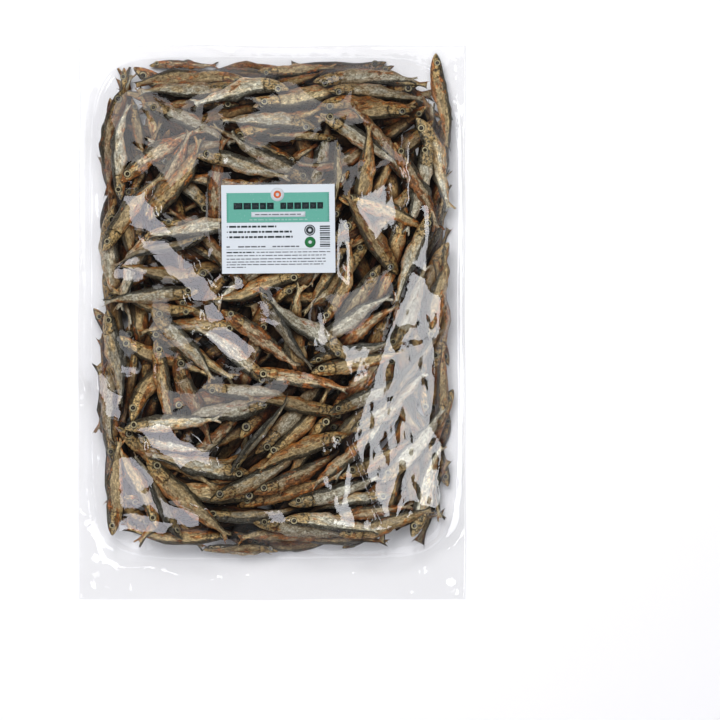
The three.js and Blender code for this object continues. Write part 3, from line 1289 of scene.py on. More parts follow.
class SkinMarkings:
    """The markings that all the sprats share, as one node group.

    The group reads three things that the mesh holds at its points: the place on the unbent fish,
    the share along it with the height and the part, and the fish's own two draws with how deep the
    point lies between other fish, which the group paints as shade.
    """

    name = "sprat_markings"
    colours = ("Flank", "Back", "Belly", "Head", "Rust")
    amounts = ("Rusting", "Shine")

    def group(self) -> bpy.types.NodeTree:
        """Give the group, made on first use.

        Returns:
            The group.
        """
        made = bpy.data.node_groups.get(self.name)
        if made:
            return made
        tree = bpy.data.node_groups.new(self.name, "ShaderNodeTree")
        sockets = [(name, "INPUT", "NodeSocketColor") for name in self.colours]
        sockets += [(name, "INPUT", "NodeSocketFloat") for name in self.amounts]
        sockets += [("Color", "OUTPUT", "NodeSocketColor")]
        sockets += [(name, "OUTPUT", "NodeSocketFloat") for name in ("Roughness", "Metallic", "Height")]
        for name, way, kind in sockets:
            tree.interface.new_socket(name, in_out=way, socket_type=kind)
        self.read(Graph(tree))
        self.wire()
        return tree

    def read(self, g: Graph) -> None:
        """Read the fish's points, and lay noise over them.

        Args:
            g: The group's graph.
        """
        self.g = g
        self.given = g.add("NodeGroupInput").outputs
        rest = g.attribute("rest")
        self.along, self.height, self.part = g.split(g.attribute("mark"))
        # The third value of tone is how deep the point lies between other fish: it darkens the skin as
        # painted shade
        self.bright, self.warm, self.sunk = g.split(g.attribute("tone"))
        self.wrinkle = g.noise(g.stretched(rest, (230.0, 540.0, 540.0)), 1.0, 6.0, 0.7)
        self.fibre = g.noise(g.stretched(rest, (640.0, 1500.0, 1500.0)), 1.0, 3.0, 0.65)
        self.flake = g.noise(rest, 480.0, 3.0, 0.65)
        self.patch = g.noise(g.stretched(rest, (85.0, 210.0, 210.0)), 1.0, 4.0, 0.6)
        self.grain = g.noise(rest, 1500.0, 2.0, 0.6)
        self.mottle = g.noise(g.stretched(rest, (130.0, 300.0, 300.0)), 1.0, 5.0, 0.72)
        self.streaks = g.ease(self.wrinkle, 0.38, 0.6)
        _, self.scale = g.cells(g.stretched(rest, (1.0, 1.35, 1.35)), 640.0)
        self.dots = g.cells(g.stretched(rest, (0.6, 1.2, 1.2)), 560.0)

    def coloured(self) -> tuple[bpy.types.NodeSocket, bpy.types.NodeSocket]:
        """Colour the flank, back, belly, head and rust.

        Returns:
            The colour, and a mask of the rust.
        """
        g, given, warm, height = self.g, self.given, self.warm, self.height
        wrinkle, flake, patch = self.wrinkle, self.flake, self.patch
        strayed = g.math("ADD", height, g.math("SUBTRACT", patch, 0.5))
        strayed = g.math("ADD", strayed, g.math("MULTIPLY_ADD", flake, 0.3, -0.15))
        back = g.ease(strayed, 0.38, 0.52)
        belly = g.math("MULTIPLY", g.ease(strayed, -0.5, -0.8), g.ease(wrinkle, 0.42, 0.54))
        head = g.ease(g.math("ADD", self.along, g.math("MULTIPLY", height, 0.02)), 0.235, 0.2)
        golden = g.math("MULTIPLY", g.ease(patch, 0.42, 0.62), g.math("MULTIPLY", warm, 0.8))
        colour = g.mix(golden, given["Flank"], given["Head"])
        colour = g.mix(g.times(belly, warm, 0.6, 0.25), colour, given["Belly"])
        headed = g.mix(g.ease(flake, 0.47, 0.58), given["Head"], g.scaled(given["Back"], 0.7))
        colour = g.mix(g.math("MULTIPLY", head, 0.82), colour, headed)
        scratches = g.math("MULTIPLY", g.ease(self.fibre, 0.55, 0.68), 0.5)
        scratched = g.mix(scratches, given["Back"], given["Flank"])
        colour = g.mix(g.math("MULTIPLY", back, 0.92), colour, scratched)

        rusty = g.math("ADD", patch, g.math("MULTIPLY", g.ease(height, 0.2, -0.8), 0.1))
        rusty = g.math("ADD", rusty, g.math("MULTIPLY_ADD", flake, 0.14, -0.07))
        rusty = g.math("ADD", rusty, g.math("MULTIPLY_ADD", given["Rusting"], 0.26, -0.12))
        rusty = g.ease(rusty, 0.6, 0.64)
        rusts = g.mix(g.ease(wrinkle, 0.4, 0.6), g.scaled(given["Rust"], 0.45), given["Rust"])
        return g.mix(g.math("MULTIPLY", rusty, 0.85), colour, rusts), rusty

    def dotted(self) -> bpy.types.NodeSocket:
        """Mask the small dark dots.

        Returns:
            The mask, with fewer dots on a warm fish and on the belly.
        """
        g = self.g
        distance, own = self.dots
        dot = g.ease(g.math("MULTIPLY_ADD", self.fibre, 0.7, distance), 0.74, 0.5)
        chosen = g.ease(g.math("ADD", own, g.math("MULTIPLY", self.height, 0.3)), 0.6, 0.68)
        return g.times(g.math("MULTIPLY", dot, chosen), self.warm, -0.5, 0.9)

    def line(self, value: object, middle: float, width: float) -> bpy.types.NodeSocket:
        """Mask a thin line where a value passes its middle."""
        off = self.g.math("ABSOLUTE", self.g.math("SUBTRACT", value, middle))
        return self.g.ease(off, width, width * 0.25)

    def lined(self) -> bpy.types.NodeSocket:
        """Mask the thin dark lines of the head.

        Returns:
            A mask of the gill cover's edge, the cheek and the mouth.
        """
        g, along, height = self.g, self.along, self.height
        bend = g.math("MULTIPLY", height, height)
        uneven = g.math("MULTIPLY_ADD", self.wrinkle, 0.05, -0.025)
        cover = g.math("ADD", g.math("ADD", along, uneven), g.math("MULTIPLY", bend, 0.03))
        cheek = g.math("ADD", g.math("SUBTRACT", along, g.math("MULTIPLY", bend, 0.02)), uneven)
        mouth = self.line(g.math("ADD", height, g.math("MULTIPLY", along, 7.0)), -0.05, 0.13)
        mouth = g.math("MULTIPLY", mouth, g.ease(along, 0.062, 0.05))
        lines = g.math("MULTIPLY", self.line(cheek, 0.142, 0.01), 0.7)
        lines = g.math("MAXIMUM", self.line(cover, 0.213, 0.011), lines)
        lines = g.math("MAXIMUM", lines, mouth)
        return g.math("MULTIPLY", lines, g.ease(self.flake, 0.36, 0.52))

    def shaded(self, lines: bpy.types.NodeSocket) -> bpy.types.NodeSocket:
        """Darken the skin by its own markings, and with painted shade where it lies deep between other fish.

        Args:
            lines: A mask of the lines of the head.

        Returns:
            The share of its colour that is left.
        """
        g = self.g
        shade = g.math("MULTIPLY_ADD", self.streaks, 0.56, 0.52)
        for mask, more, base in (
            (g.ease(self.fibre, 0.38, 0.62), 0.4, 0.78),
            (self.bright, 0.8, 0.66),
            (g.ease(self.flake, 0.34, 0.6), 0.4, 0.76),
            (self.scale, 0.5, 0.76),
            (g.ease(self.mottle, 0.38, 0.58), 0.5, 0.56),
            # Painted shade: darker where the skin lies deep between other fish
            (self.sunk, -0.92, 1.0),
            (self.dotted(), -0.8, 1.0),
            (lines, -0.76, 1.0),
        ):
            shade = g.times(shade, mask, more, base)
        return shade

    def eye(self) -> bpy.types.NodeSocket:
        """Colour the eye.

        Returns:
            The colours of its pupil, iris and rim, darker by painted shade where the eye lies deep between
            other fish.
        """
        g, along = self.g, self.along
        cloud = g.times(g.math("MULTIPLY_ADD", self.bright, 0.5, 0.3), self.flake, 1.2, 0.1)
        iris = g.scaled(srgb(206, 192, 150)[:3], cloud)
        pupil = g.mix(g.ease(along, 0.12, 0.34), srgb(66, 60, 50), srgb(11, 9, 8))
        ring = g.mix(g.ease(along, 0.44, 0.53), pupil, iris)
        ring = g.mix(g.ease(along, 0.78, 0.88), ring, srgb(24, 18, 12))
        # Painted shade: darker where the eye lies deep between other fish
        return g.scaled(ring, g.math("MULTIPLY_ADD", self.sunk, -0.8, 1.0))

    def wire(self) -> None:
        """Wire the group's outputs."""
        g, sunk = self.g, self.sunk
        colour, rusty = self.coloured()
        lines = self.lined()
        shade = self.shaded(lines)
        # Brown the darker skin: its dark markings, and the painted shade between fish among them
        warmed_darks = g.mix(g.ease(shade, 0.08, 0.75), (1.08, 0.86, 0.56, 1.0), (1.0, 0.99, 0.96, 1.0))
        colour = g.stretched(g.scaled(colour, shade), warmed_darks)
        # Painted shade: browner and darker where the skin lies deep between other fish
        colour = g.stretched(colour, g.mix(sunk, WHITE, (1.0, 0.72, 0.42, 1.0)))
        eye = g.math("GREATER_THAN", self.part, 0.5)
        skin = g.math("SUBTRACT", 1.0, eye)

        # Less metal and more roughness on rust, and where painted shade lies deep between other fish
        unrusted_unshaded = g.math("SUBTRACT", 1.0, g.math("MAXIMUM", rusty, sunk))
        metal = g.math("MULTIPLY", unrusted_unshaded, self.given["Shine"])
        metal = g.math("MULTIPLY", metal, g.times(self.streaks, self.scale, 0.7, 0.4))
        rough = g.math("MULTIPLY_ADD", self.grain, 0.3, 0.16)
        rough = g.math("ADD", rough, g.math("MULTIPLY_ADD", sunk, 0.4, g.math("MULTIPLY", rusty, 0.16)))
        relief = g.math("ADD", self.wrinkle, g.math("MULTIPLY", self.fibre, 0.3))
        relief = g.math("ADD", relief, g.math("MULTIPLY", self.flake, 0.45))
        relief = g.math("SUBTRACT", relief, g.math("MULTIPLY", lines, 0.6))
        results = {
            "Color": g.mix(eye, colour, self.eye()),
            "Roughness": g.times(rough, eye, -0.6, 1.0),
            "Metallic": g.math("MULTIPLY", metal, skin),
            "Height": g.math("MULTIPLY", relief, skin),
        }
        g.add("NodeGroupOutput", results)


@dataclass(frozen=True)
class SpratSkin:
    """The dried skin of one kind of sprat.

    Attributes:
        kind: The kind of sprat.
        flank: Colour of the side.
        back: Colour of the back.
        belly: Colour along the belly.
        head: Colour of the head.
        rust: Colour of the patches where the skin has gone.
        rusting: How much of it has gone, 0 to 1.
        shine: How metallic the flank is, 0 to 1.
    """

    kind: Kind
    flank: Colour = srgb(188, 186, 170)
    back: Colour = srgb(50, 48, 40)
    belly: Colour = srgb(162, 112, 62)
    head: Colour = srgb(204, 174, 116)
    rust: Colour = srgb(154, 90, 30)
    rusting: float = 0.4
    shine: float = 0.5

    def make(self) -> bpy.types.Material:
        """Give the material.

        Returns:
            The material.
        """
        material, g = new_material(f"sprat_skin_{self.kind.value}")
        marks = g.add("ShaderNodeGroup", node_tree=SkinMarkings().group())
        values = (self.flank, self.back, self.belly, self.head, self.rust, self.rusting, self.shine)
        for name, value in zip(SkinMarkings.colours + SkinMarkings.amounts, values):
            marks.inputs[name].default_value = value
        shader = g.add("ShaderNodeBsdfPrincipled", {
            "Base Color": marks.outputs["Color"],
            "Roughness": marks.outputs["Roughness"],
            "Metallic": marks.outputs["Metallic"],
            "Normal": g.bump(marks.outputs["Height"], 0.8, 0.5 * MM),
            "Specular IOR Level": 0.45,
            "IOR": 1.45,
        })
        g.show(shader)
        return material


SKINS = {
    Kind.SILVER: SpratSkin(Kind.SILVER, rusting=0.15, shine=0.6),
    Kind.GOLDEN: SpratSkin(Kind.GOLDEN, flank=srgb(182, 167, 130), rusting=0.35, shine=0.5),
    Kind.BRONZE: SpratSkin(
        Kind.BRONZE, flank=srgb(160, 142, 106), belly=srgb(156, 100, 42), rusting=0.5, shine=0.4),
    Kind.DARK: SpratSkin(
        Kind.DARK, flank=srgb(150, 145, 130), back=srgb(44, 45, 42), rusting=0.15, shine=0.45),
    Kind.TORN: SpratSkin(
        Kind.TORN, flank=srgb(172, 158, 130), belly=srgb(150, 94, 38), rust=srgb(146, 83, 29), rusting=0.75,
        shine=0.35),
    # The deep fish: a darker, browner, duller copy of the skin, as painted shade
    Kind.UNDER: SpratSkin(
        Kind.UNDER, flank=srgb(150, 132, 96), back=srgb(44, 38, 28), belly=srgb(150, 98, 50), rusting=0.5,
        shine=0.15),
}


@dataclass
class Strands:
    """Arrays of a mesh in the making, with what the skin reads at its points.

    Attributes:
        points: Points, in blocks.
        quads: Faces of four points, in blocks.
        quad_uvs: Chart places of their corners.
        tris: Faces of three points, in blocks.
        tri_uvs: Chart places of their corners.
        rest: Place on the unbent fish.
        mark: Share along, height and part.
        tone: Two draws that the whole fish shares, and how deep the point lies, which the skin paints as
            shade.
        count: Points so far.
    """

    points: list[np.ndarray] = field(default_factory=list)
    quads: list[np.ndarray] = field(default_factory=list)
    quad_uvs: list[np.ndarray] = field(default_factory=list)
    tris: list[np.ndarray] = field(default_factory=list)
    tri_uvs: list[np.ndarray] = field(default_factory=list)
    rest: list[np.ndarray] = field(default_factory=list)
    mark: list[np.ndarray] = field(default_factory=list)
    tone: list[np.ndarray] = field(default_factory=list)
    count: int = 0

    def tube(self, points: np.ndarray, chart: tuple[float, float, float, float]) -> None:
        """Add a closed tube of rings, with both ends shut.

        Args:
            points: Rings by points by three.
            chart: Left, bottom, width and height of its place on the chart.
        """
        rings, around = points.shape[:2]
        ring, side = np.meshgrid(np.arange(rings - 1), np.arange(around), indexing="ij")
        after = (side + 1) % around
        base = self.count
        near, far = ring * around, (ring + 1) * around
        corners = np.stack([near + side, near + after, far + after, far + side], -1)
        self.quads.append(base + corners.reshape(-1, 4))
        left, bottom, width, tall = chart
        u = np.stack([ring, ring, ring + 1, ring + 1], -1) / (rings - 1) * width + left
        v = np.stack([side, side + 1, side + 1, side], -1) / around * tall + bottom
        self.quad_uvs.append(np.stack([u, v], -1).reshape(-1, 4, 2))
        self.cap(base, around, 0, chart, flip=True)
        self.cap(base, around, rings - 1, chart, flip=False)
        self.points.append(points.reshape(-1, 3))
        self.count += rings * around

    def plate(self, sides: np.ndarray, chart: np.ndarray, closed: bool) -> None:
        """Add a thin plate, or a ring where the grid closes on itself.

        Args:
            sides: Upper and lower side, by the grid's two ways, by three.
            chart: Chart places of the upper side, by the grid's two ways, by two.
            closed: Whether the first and last column of the grid are the same.
        """
        _, long, wide, _ = sides.shape
        spans = long - 1
        if closed:
            sides, chart, long = sides[:, :-1], chart[:-1], long - 1
        base, size = self.count, long * wide
        i, j = np.meshgrid(np.arange(spans), np.arange(wide - 1), indexing="ij")
        after = (i + 1) % long
        upper = [i * wide + j, after * wide + j, after * wide + j + 1, i * wide + j + 1]
        upper = np.stack(upper, -1).reshape(-1, 4)
        faces = [upper, size + upper[:, ::-1]]

        def wall(first: np.ndarray, last: np.ndarray, flip: bool) -> None:
            """Join the two sides along a row of points."""
            rim = np.stack([last, first, size + first, size + last], -1)
            faces.append(rim[:, ::-1] if flip else rim)

        step = np.arange(spans)
        for row, flip in ((0, False), (wide - 1, True)):
            wall(step * wide + row, (step + 1) % long * wide + row, flip)
        if not closed:
            step = np.arange(wide - 1)
            for column, flip in ((0, True), (long - 1, False)):
                wall(column * wide + step, column * wide + step + 1, flip)
        quads = np.concatenate(faces)
        self.quads.append(base + quads)
        uvs = chart.reshape(-1, 2)[quads % size] * (1.0, 0.5)
        uvs[len(upper) : 2 * len(upper), :, 1] += 0.5
        self.quad_uvs.append(uvs)
        self.points.append(sides.reshape(-1, 3))
        self.count += 2 * size

    def cap(self, base: int, around: int, ring: int, chart: tuple[float, ...], flip: bool) -> None:
        """Shut one end of a tube with a strip of faces.

        Args:
            base: The tube's first point.
            around: Points in a ring.
            ring: The ring to shut.
            chart: The tube's place on the chart.
            flip: Whether the end faces backwards.
        """
        half = around // 2
        first = base + ring * around
        place = np.array([chart[0] + chart[2] * (0.0 if flip else 1.0), chart[1] + chart[3] + 0.002])
        ends = np.array([[0, 1, around - 1], [half, half + 1, half - 1]])
        steps = np.arange(1, half - 1)
        strip = np.stack([steps, steps + 1, around - steps - 1, around - steps], -1)
        if flip:
            ends, strip = ends[:, ::-1], strip[:, ::-1]
        spread = np.array([[0, 0], [0.001, 0], [0.001, 0.001], [0, 0.001]])
        self.quads.append(first + strip)
        self.quad_uvs.append(np.tile(place + spread, (len(strip), 1, 1)))
        self.tris.append(first + ends)
        self.tri_uvs.append(np.tile(place + spread[:3], (2, 1, 1)))

    def paint(self, rest: np.ndarray, mark: np.ndarray, tone: np.ndarray, sunk: np.ndarray) -> None:
        """Keep what the skin reads at the points just added.

        Args:
            rest: Their places on the unbent fish.
            mark: Share along, height and part.
            tone: The fish's own draws.
            sunk: How deep they lie between other fish, which the skin paints as shade.
        """
        self.rest.append(rest.reshape(-1, 3))
        self.mark.append(mark.reshape(-1, 3))
        own = np.tile(tone[:2], (len(self.rest[-1]), 1))
        self.tone.append(np.column_stack([own, sunk.ravel()]))

    def mesh(self, name: str) -> bpy.types.Object:
        """Turn the arrays into an object.

        Args:
            name: The object's name.

        Returns:
            The object, smooth shaded, with its chart and its attributes.
        """
        mesh = bpy.data.meshes.new(name)
        points = np.concatenate(self.points)
        quads = np.concatenate(self.quads)
        tris = np.concatenate(self.tris or [np.empty((0, 3), dtype=int)])
        corners = np.concatenate([quads.ravel(), tris.ravel()]).astype(np.int32)
        starts = np.concatenate([np.arange(len(quads)) * 4, len(quads) * 4 + np.arange(len(tris)) * 3])
        mesh.vertices.add(len(points))
        mesh.vertices.foreach_set("co", points.astype(np.float32).ravel())
        mesh.loops.add(len(corners))
        mesh.loops.foreach_set("vertex_index", corners)
        mesh.polygons.add(len(starts))
        mesh.polygons.foreach_set("loop_start", starts.astype(np.int32))
        mesh.update(calc_edges=True)
        mesh.shade_smooth()
        charts = [block.reshape(-1, 2) for block in self.quad_uvs + self.tri_uvs]
        uvs = np.concatenate(charts)
        mesh.uv_layers.new(name="OFBake").data.foreach_set("uv", uvs.astype(np.float32).ravel())
        for label, blocks in (("rest", self.rest), ("mark", self.mark), ("tone", self.tone)):
            if blocks:
                layer = mesh.attributes.new(label, "FLOAT_VECTOR", "POINT")
                layer.data.foreach_set("vector", np.concatenate(blocks).astype(np.float32).ravel())
        mesh.validate()
        thing = bpy.data.objects.new(name, mesh)
        bpy.context.collection.objects.link(thing)
        return thing


@dataclass
class SpratMaker:
    """Meshes laid sprats, kind by kind.

    Attributes:
        heap: The heap that they lie in.
        eye_share: Where the eye is, along the fish.
        eye_size: Radius of the eye, as a share of the length.
        lowest: Height that no fish comes below.
        fold: Height of the folds of its skin.
        marked: Places along the fish as its skin is marked, from 0 to 1.
        drawn_out: Where those places come when the head is drawn out.
    """

    heap: Heap
    eye_share: float = 0.092
    eye_size: float = 0.04
    lowest: float = 0.45 * MM
    fold: float = 0.2 * MM
    marked: tuple[float, ...] = (0.0, 0.235, 0.55, 1.0)
    drawn_out: tuple[float, ...] = (0.0, 0.28, 0.575, 1.0)

    def levels(self, detail: Detail) -> tuple[np.ndarray, np.ndarray]:
        """Give where a fish has its points.

        Args:
            detail: How finely it is meshed.

        Returns:
            Places of the rings along it, from 0 to 1, and heights of the points round them.
        """
        if detail is Detail.COARSE:
            rings = np.array([0, 0.03, 0.08, 0.14, 0.2, 0.23, 0.3, 0.4, 0.5, 0.6, 0.7, 0.8, 0.88, 0.94, 1])
            return rings, np.array([1, 0.7, 0.25, -0.25, -0.7, -1])
        head, body = np.linspace(0, 0.235, 14), np.linspace(0.26, 0.9, 20)
        tail = np.array([0.925, 0.95, 0.975, 1.0])
        heights = [1, 0.94, 0.8, 0.62, 0.44, 0.26, 0.08, -0.1, -0.28, -0.46, -0.64, -0.8, -0.93, -1]
        return np.concatenate([head, body, tail]), np.array(heights)

    def frame(self, sprat: Sprat, share: np.ndarray) -> tuple[np.ndarray, ...]:
        """Give a fish's axis and the directions of its run, back and side.

        Args:
            sprat: The fish.
            share: Places along it.

        Returns:
            Points, run, back and side, each as places by three.
        """
        share = np.interp(share, self.marked, self.drawn_out)
        x, y, _ = sprat.pose.track(share)
        z = np.interp(share, self.heap.share, sprat.lift)
        axis = np.stack([x[0], y[0], z], -1)
        run = np.gradient(axis, axis=0)
        run /= np.linalg.norm(run, axis=1, keepdims=True)
        left = np.stack([-run[:, 1], run[:, 0], np.zeros(len(run))], -1)
        left /= np.linalg.norm(left, axis=1, keepdims=True)
        up = np.cross(run, left)
        lean = sprat.pose.lean(share)[0][:, None]
        back = left * np.cos(lean) + up * np.sin(lean)
        side = -left * np.sin(lean) + up * np.cos(lean)
        return axis, run, back, side

    def outline(
        self, sprat: Sprat, s: np.ndarray, high: np.ndarray, tone: np.ndarray
    ) -> tuple[np.ndarray, np.ndarray]:
        """Give a dried fish's outline from the side, and its full thickness.

        Args:
            sprat: The fish.
            s: Places along it, as a column.
            high: Heights round it from -1 to 1, as a row.
            tone: The fish's own draws.

        Returns:
            How far each point stands to the back, and out to the side.
        """
        pose, seed = sprat.pose, sprat.number * 1.7
        length = float(pose.length[0])
        rise, drop, half = self.heap.shape.profile(s[:, 0], float(pose.spread[0]))
        shrunk = smooth(s, 0.2, 0.3)
        sway = 1 + shrunk * (0.08 * np.sin(s * 17 + seed) + 0.05 * np.sin(s * 43 + seed * 2.3))
        sag = 1 + shrunk * (0.1 * np.sin(s * 15 + seed * 3.1) + 0.06 * np.sin(s * 37 + seed * 1.3))
        above = rise[:, None] * length * float(pose.fat[0]) * sway
        below = drop[:, None] * length * float(pose.fat[0]) * sag
        if sprat.kind is Kind.TORN:
            ragged = 0.2 + 0.1 * np.sin(s * 90 + seed) + 0.08 * np.sin(s * 171 + seed)
            below = below * (1 - ragged * smooth(s, 0.27, 0.33) * (1 - smooth(s, 0.5, 0.6)))
        up = np.where(high > 0, above * high, below * high)
        crest = (high > 0.99) * np.sin(np.pi * np.clip((s - 0.46) / 0.16, 0, 1)) ** 0.7
        keel_fin = (high < -0.99) * np.sin(np.pi * np.clip((s - 0.68) / 0.15, 0, 1)) ** 0.7
        up = up + length * (0.026 * crest * tone[2] - 0.016 * keel_fin)
        keel = np.where(high < 0, 1 - 0.36 * high * high, 1 - 0.1 * high * high)
        wide = np.sqrt(np.maximum(0, 1 - high * high))
        return up, half[:, None] * length * float(pose.thin[0]) * wide * keel

    def dried(
        self, out: np.ndarray, s: np.ndarray, high: np.ndarray, sign: np.ndarray, seed: float,
        detail: Detail, tone: np.ndarray
    ) -> np.ndarray:
        """Shape a fish's sides: the head, its gill cover, the hollow flank and its folds.

        Args:
            out: How far each point stands out to the side.
            s: Places along the fish, as a column.
            high: Heights round it from -1 to 1, as a row.
            sign: 1 on one side of the fish and -1 on the other, as a row.
            seed: The fish's own shift of the folds.
            detail: How finely it is meshed.
            tone: The fish's own draws.

        Returns:
            How far each point stands out once it is shaped.
        """
        trunk = smooth(s, 0.25, 0.36) * (1 - smooth(s, 0.8, 0.9))
        lip = smooth(s, 0.2, 0.222) if detail is Detail.FINE else smooth(s, 0.19, 0.235)
        arc = smooth(s + 0.03 * high * high, 0.205, 0.22)
        swell = 1.13 - 0.22 * np.maximum(arc, lip * 0.2) * (1 - smooth(s, 0.24, 0.42))
        out = out * np.where(s < 0.45, swell, 1.0)
        cheek = np.exp(-(((s - 0.142 - 0.02 * high * high) / 0.009) ** 2))
        out = out * (1 - 0.1 * cheek)
        hollow = np.where(sign > 0, 0.14 + 0.3 * tone[0], 0.14 + 0.3 * tone[1])
        out = out * (1 - hollow * trunk * np.exp(-(((high - 0.12) / 0.42) ** 2)))
        fold = np.sin(7.6 * high + 1.6 * np.sin(5.1 * s + seed) + seed)
        fold = fold + 0.5 * np.sin(13.5 * high + 2.1 * np.sin(3.7 * s + seed * 1.9))
        return out + self.fold * fold * trunk * np.sqrt(np.maximum(0, 1 - high * high))

    def body(
        self, strands: Strands, sprat: Sprat, detail: Detail, chart: tuple[float, ...],
        tone: np.ndarray
    ) -> None:
        """Add a fish's body and tail.

        Args:
            strands: The mesh in the making.
            sprat: The fish.
            detail: How finely it is meshed.
            chart: Its place on the chart.
            tone: The fish's own draws.
        """
        share, heights = self.levels(detail)
        length = float(sprat.pose.length[0])
        high = np.concatenate([heights, heights[-2:0:-1]])[None, :]
        sign = np.concatenate([np.ones(len(heights)), -np.ones(len(heights) - 2)])[None, :]
        s, seed = share[:, None], sprat.number * 1.7
        up, out = self.outline(sprat, s, high, tone)
        out = self.dried(out, s, high, sign, seed, detail, tone) * sign
        tail = self.heap.shape.tail
        fan = np.clip((s - tail) / (1 - tail), 0, 1)
        pull = self.heap.shape.fork * length * fan**1.5 * (1 - np.abs(high))
        pull = pull + 0.012 * length * np.sin(high * 9 + seed) * fan
        axis, run, back, side = self.frame(sprat, share)
        points = (
            axis[:, None, :]
            + back[:, None, :] * up[..., None]
            + side[:, None, :] * out[..., None]
            - run[:, None, :] * pull[..., None]
        )
        points[..., 2] = np.maximum(points[..., 2], self.lowest)
        strands.tube(points, chart)
        flat = np.zeros_like(up)
        offset = np.array([sprat.number * 0.173, sprat.number * 0.031, 0.0])
        rest = np.stack([s * length + flat, up, out], -1) + offset
        mark = np.stack([s + flat, high + flat, flat], -1)
        strands.paint(rest, mark, tone, self.heap.sunk(points))

    def eye(
        self, strands: Strands, sprat: Sprat, facing: int, detail: Detail,
        chart: tuple[float, ...], tone: np.ndarray
    ) -> None:
        """Add one eye, a low dome with a raised ring.

        Args:
            strands: The mesh in the making.
            sprat: The fish.
            facing: 1 or -1, the side of the fish.
            detail: How finely it is meshed.
            chart: Its place on the chart.
            tone: The fish's own draws.
        """
        share = np.array([self.eye_share - 0.01, self.eye_share, self.eye_share + 0.01])
        axis, run, back, side = (each[1] for each in self.frame(sprat, share))
        length = float(sprat.pose.length[0])
        _, _, half = self.heap.shape.profile(np.array([self.eye_share]), 0.0)
        centre = axis + back * 0.012 * length * float(sprat.pose.fat[0])
        centre = centre + side * facing * float(half[0]) * 0.95 * length * float(sprat.pose.thin[0])
        around, layers = (14, 8) if detail is Detail.FINE else (8, 4)
        radius = self.eye_size * length * (0.92 + 0.2 * tone[1])
        polar = np.linspace(0.12, math.pi - 0.12, layers)[:, None]
        turn = np.arange(around)[None, :] * (2 * math.pi / around)
        flat = radius * np.sin(polar)
        rim = np.exp(-(((np.sin(polar) - 0.74) / 0.14) ** 2)) * (polar < math.pi / 2)
        lift = radius * (0.3 * np.cos(polar) + 0.12 * rim) + 0 * turn
        across, along = flat * np.cos(turn), flat * np.sin(turn)
        points = (
            centre
            + run * across[..., None]
            + back * (along * facing)[..., None]
            + side * facing * lift[..., None]
        )
        points[..., 2] = np.maximum(points[..., 2], self.lowest)
        strands.tube(points, chart)
        ring = np.where(polar < math.pi / 2, np.sin(polar), 1.0) + 0 * turn
        rest = np.stack([across, along, lift], -1) + sprat.number * 0.173
        mark = np.stack([ring, 0 * ring, np.ones_like(ring)], -1)
        strands.paint(rest, mark, tone, self.heap.sunk(points))

    def piece(self, name: str, sprats: list[Sprat], detail: Detail) -> bpy.types.Object:
        """Mesh sprats as one piece.

        Args:
            name: The piece's name.
            sprats: The fish.
            detail: How finely they are meshed.

        Returns:
            The piece.
        """
        strands = Strands()
        columns = math.ceil(math.sqrt(len(sprats) * 0.6))
        rows = math.ceil(len(sprats) / columns)
        for index, sprat in enumerate(sprats):
            column, row = index % columns, index // columns
            left, bottom = (column + 0.02) / columns, (row + 0.03) / rows
            wide, tall = 0.96 / columns, 0.94 / rows
            tone = np.random.default_rng(SEED + sprat.number).random(3)
            self.body(strands, sprat, detail, (left, bottom, wide * 0.86, tall), tone)
            for facing, share in ((1, 0.04), (-1, 0.54)):
                chart = (left + wide * 0.88, bottom + tall * share, wide * 0.12, tall * 0.42)
                self.eye(strands, sprat, facing, detail, chart, tone)
        return strands.mesh(name)

    def dress(self) -> None:
        """Mesh all the sprats, with one piece and one skin for each kind."""
        groups: dict[Kind, list[Sprat]] = {kind: [] for kind in Kind}
        for sprat in self.heap.laid:
            groups[sprat.kind if sprat.top else Kind.UNDER].append(sprat)
        for kind, sprats in groups.items():
            detail = Detail.COARSE if kind is Kind.UNDER else Detail.FINE
            piece = self.piece(f"sprats_{kind.value}", sprats, detail)
            piece.data.materials.append(SKINS[kind].make())
            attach(piece, "root")
            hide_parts("bag")
            LOG.info("%s: %d sprats, %d faces", piece.name, len(sprats), len(piece.data.polygons))


class Ink(Enum):
    """The colours printed on the label."""

    MINT = srgb(88, 158, 142)
    WHITE = srgb(196, 202, 208)
    ORANGE = srgb(196, 92, 40)
    DARK = srgb(22, 36, 38)
    GREY = srgb(96, 100, 106)
    PALE = srgb(150, 186, 178)
    GREEN = srgb(24, 104, 54)


@dataclass(frozen=True)
class LabelPaper:
    """Smooth white label paper with a faint gloss.

    Attributes:
        name: The material's name.
        colour: Its colour.
        rough: Its roughness.
        uneven: How far its fibres change that.
    """

    name: str = "printed_label_paper"
    colour: Colour = srgb(202, 209, 215)
    rough: float = 0.42
    uneven: float = 0.06

    def make(self) -> bpy.types.Material:
        """Give the material.

        Returns:
            The material.
        """
        material, g = new_material(self.name)
        place = g.add("ShaderNodeTexCoord").outputs["Object"]
        fibre = g.noise(place, 900.0, 3.0, 0.6)
        # Colour a few percent lighter and darker in broad patches
        broad_tone = g.noise(place, 40.0, 2.0, 0.5)
        shader = g.add("ShaderNodeBsdfPrincipled", {
            "Base Color": g.scaled(self.colour[:3], g.math("MULTIPLY_ADD", broad_tone, 0.08, 0.96)),
            "Roughness": g.math("MULTIPLY_ADD", fibre, self.uneven * 2, self.rough - self.uneven),
            "Normal": g.bump(fibre, 0.15, 0.1 * MM),
        })
        g.show(shader)
        return material


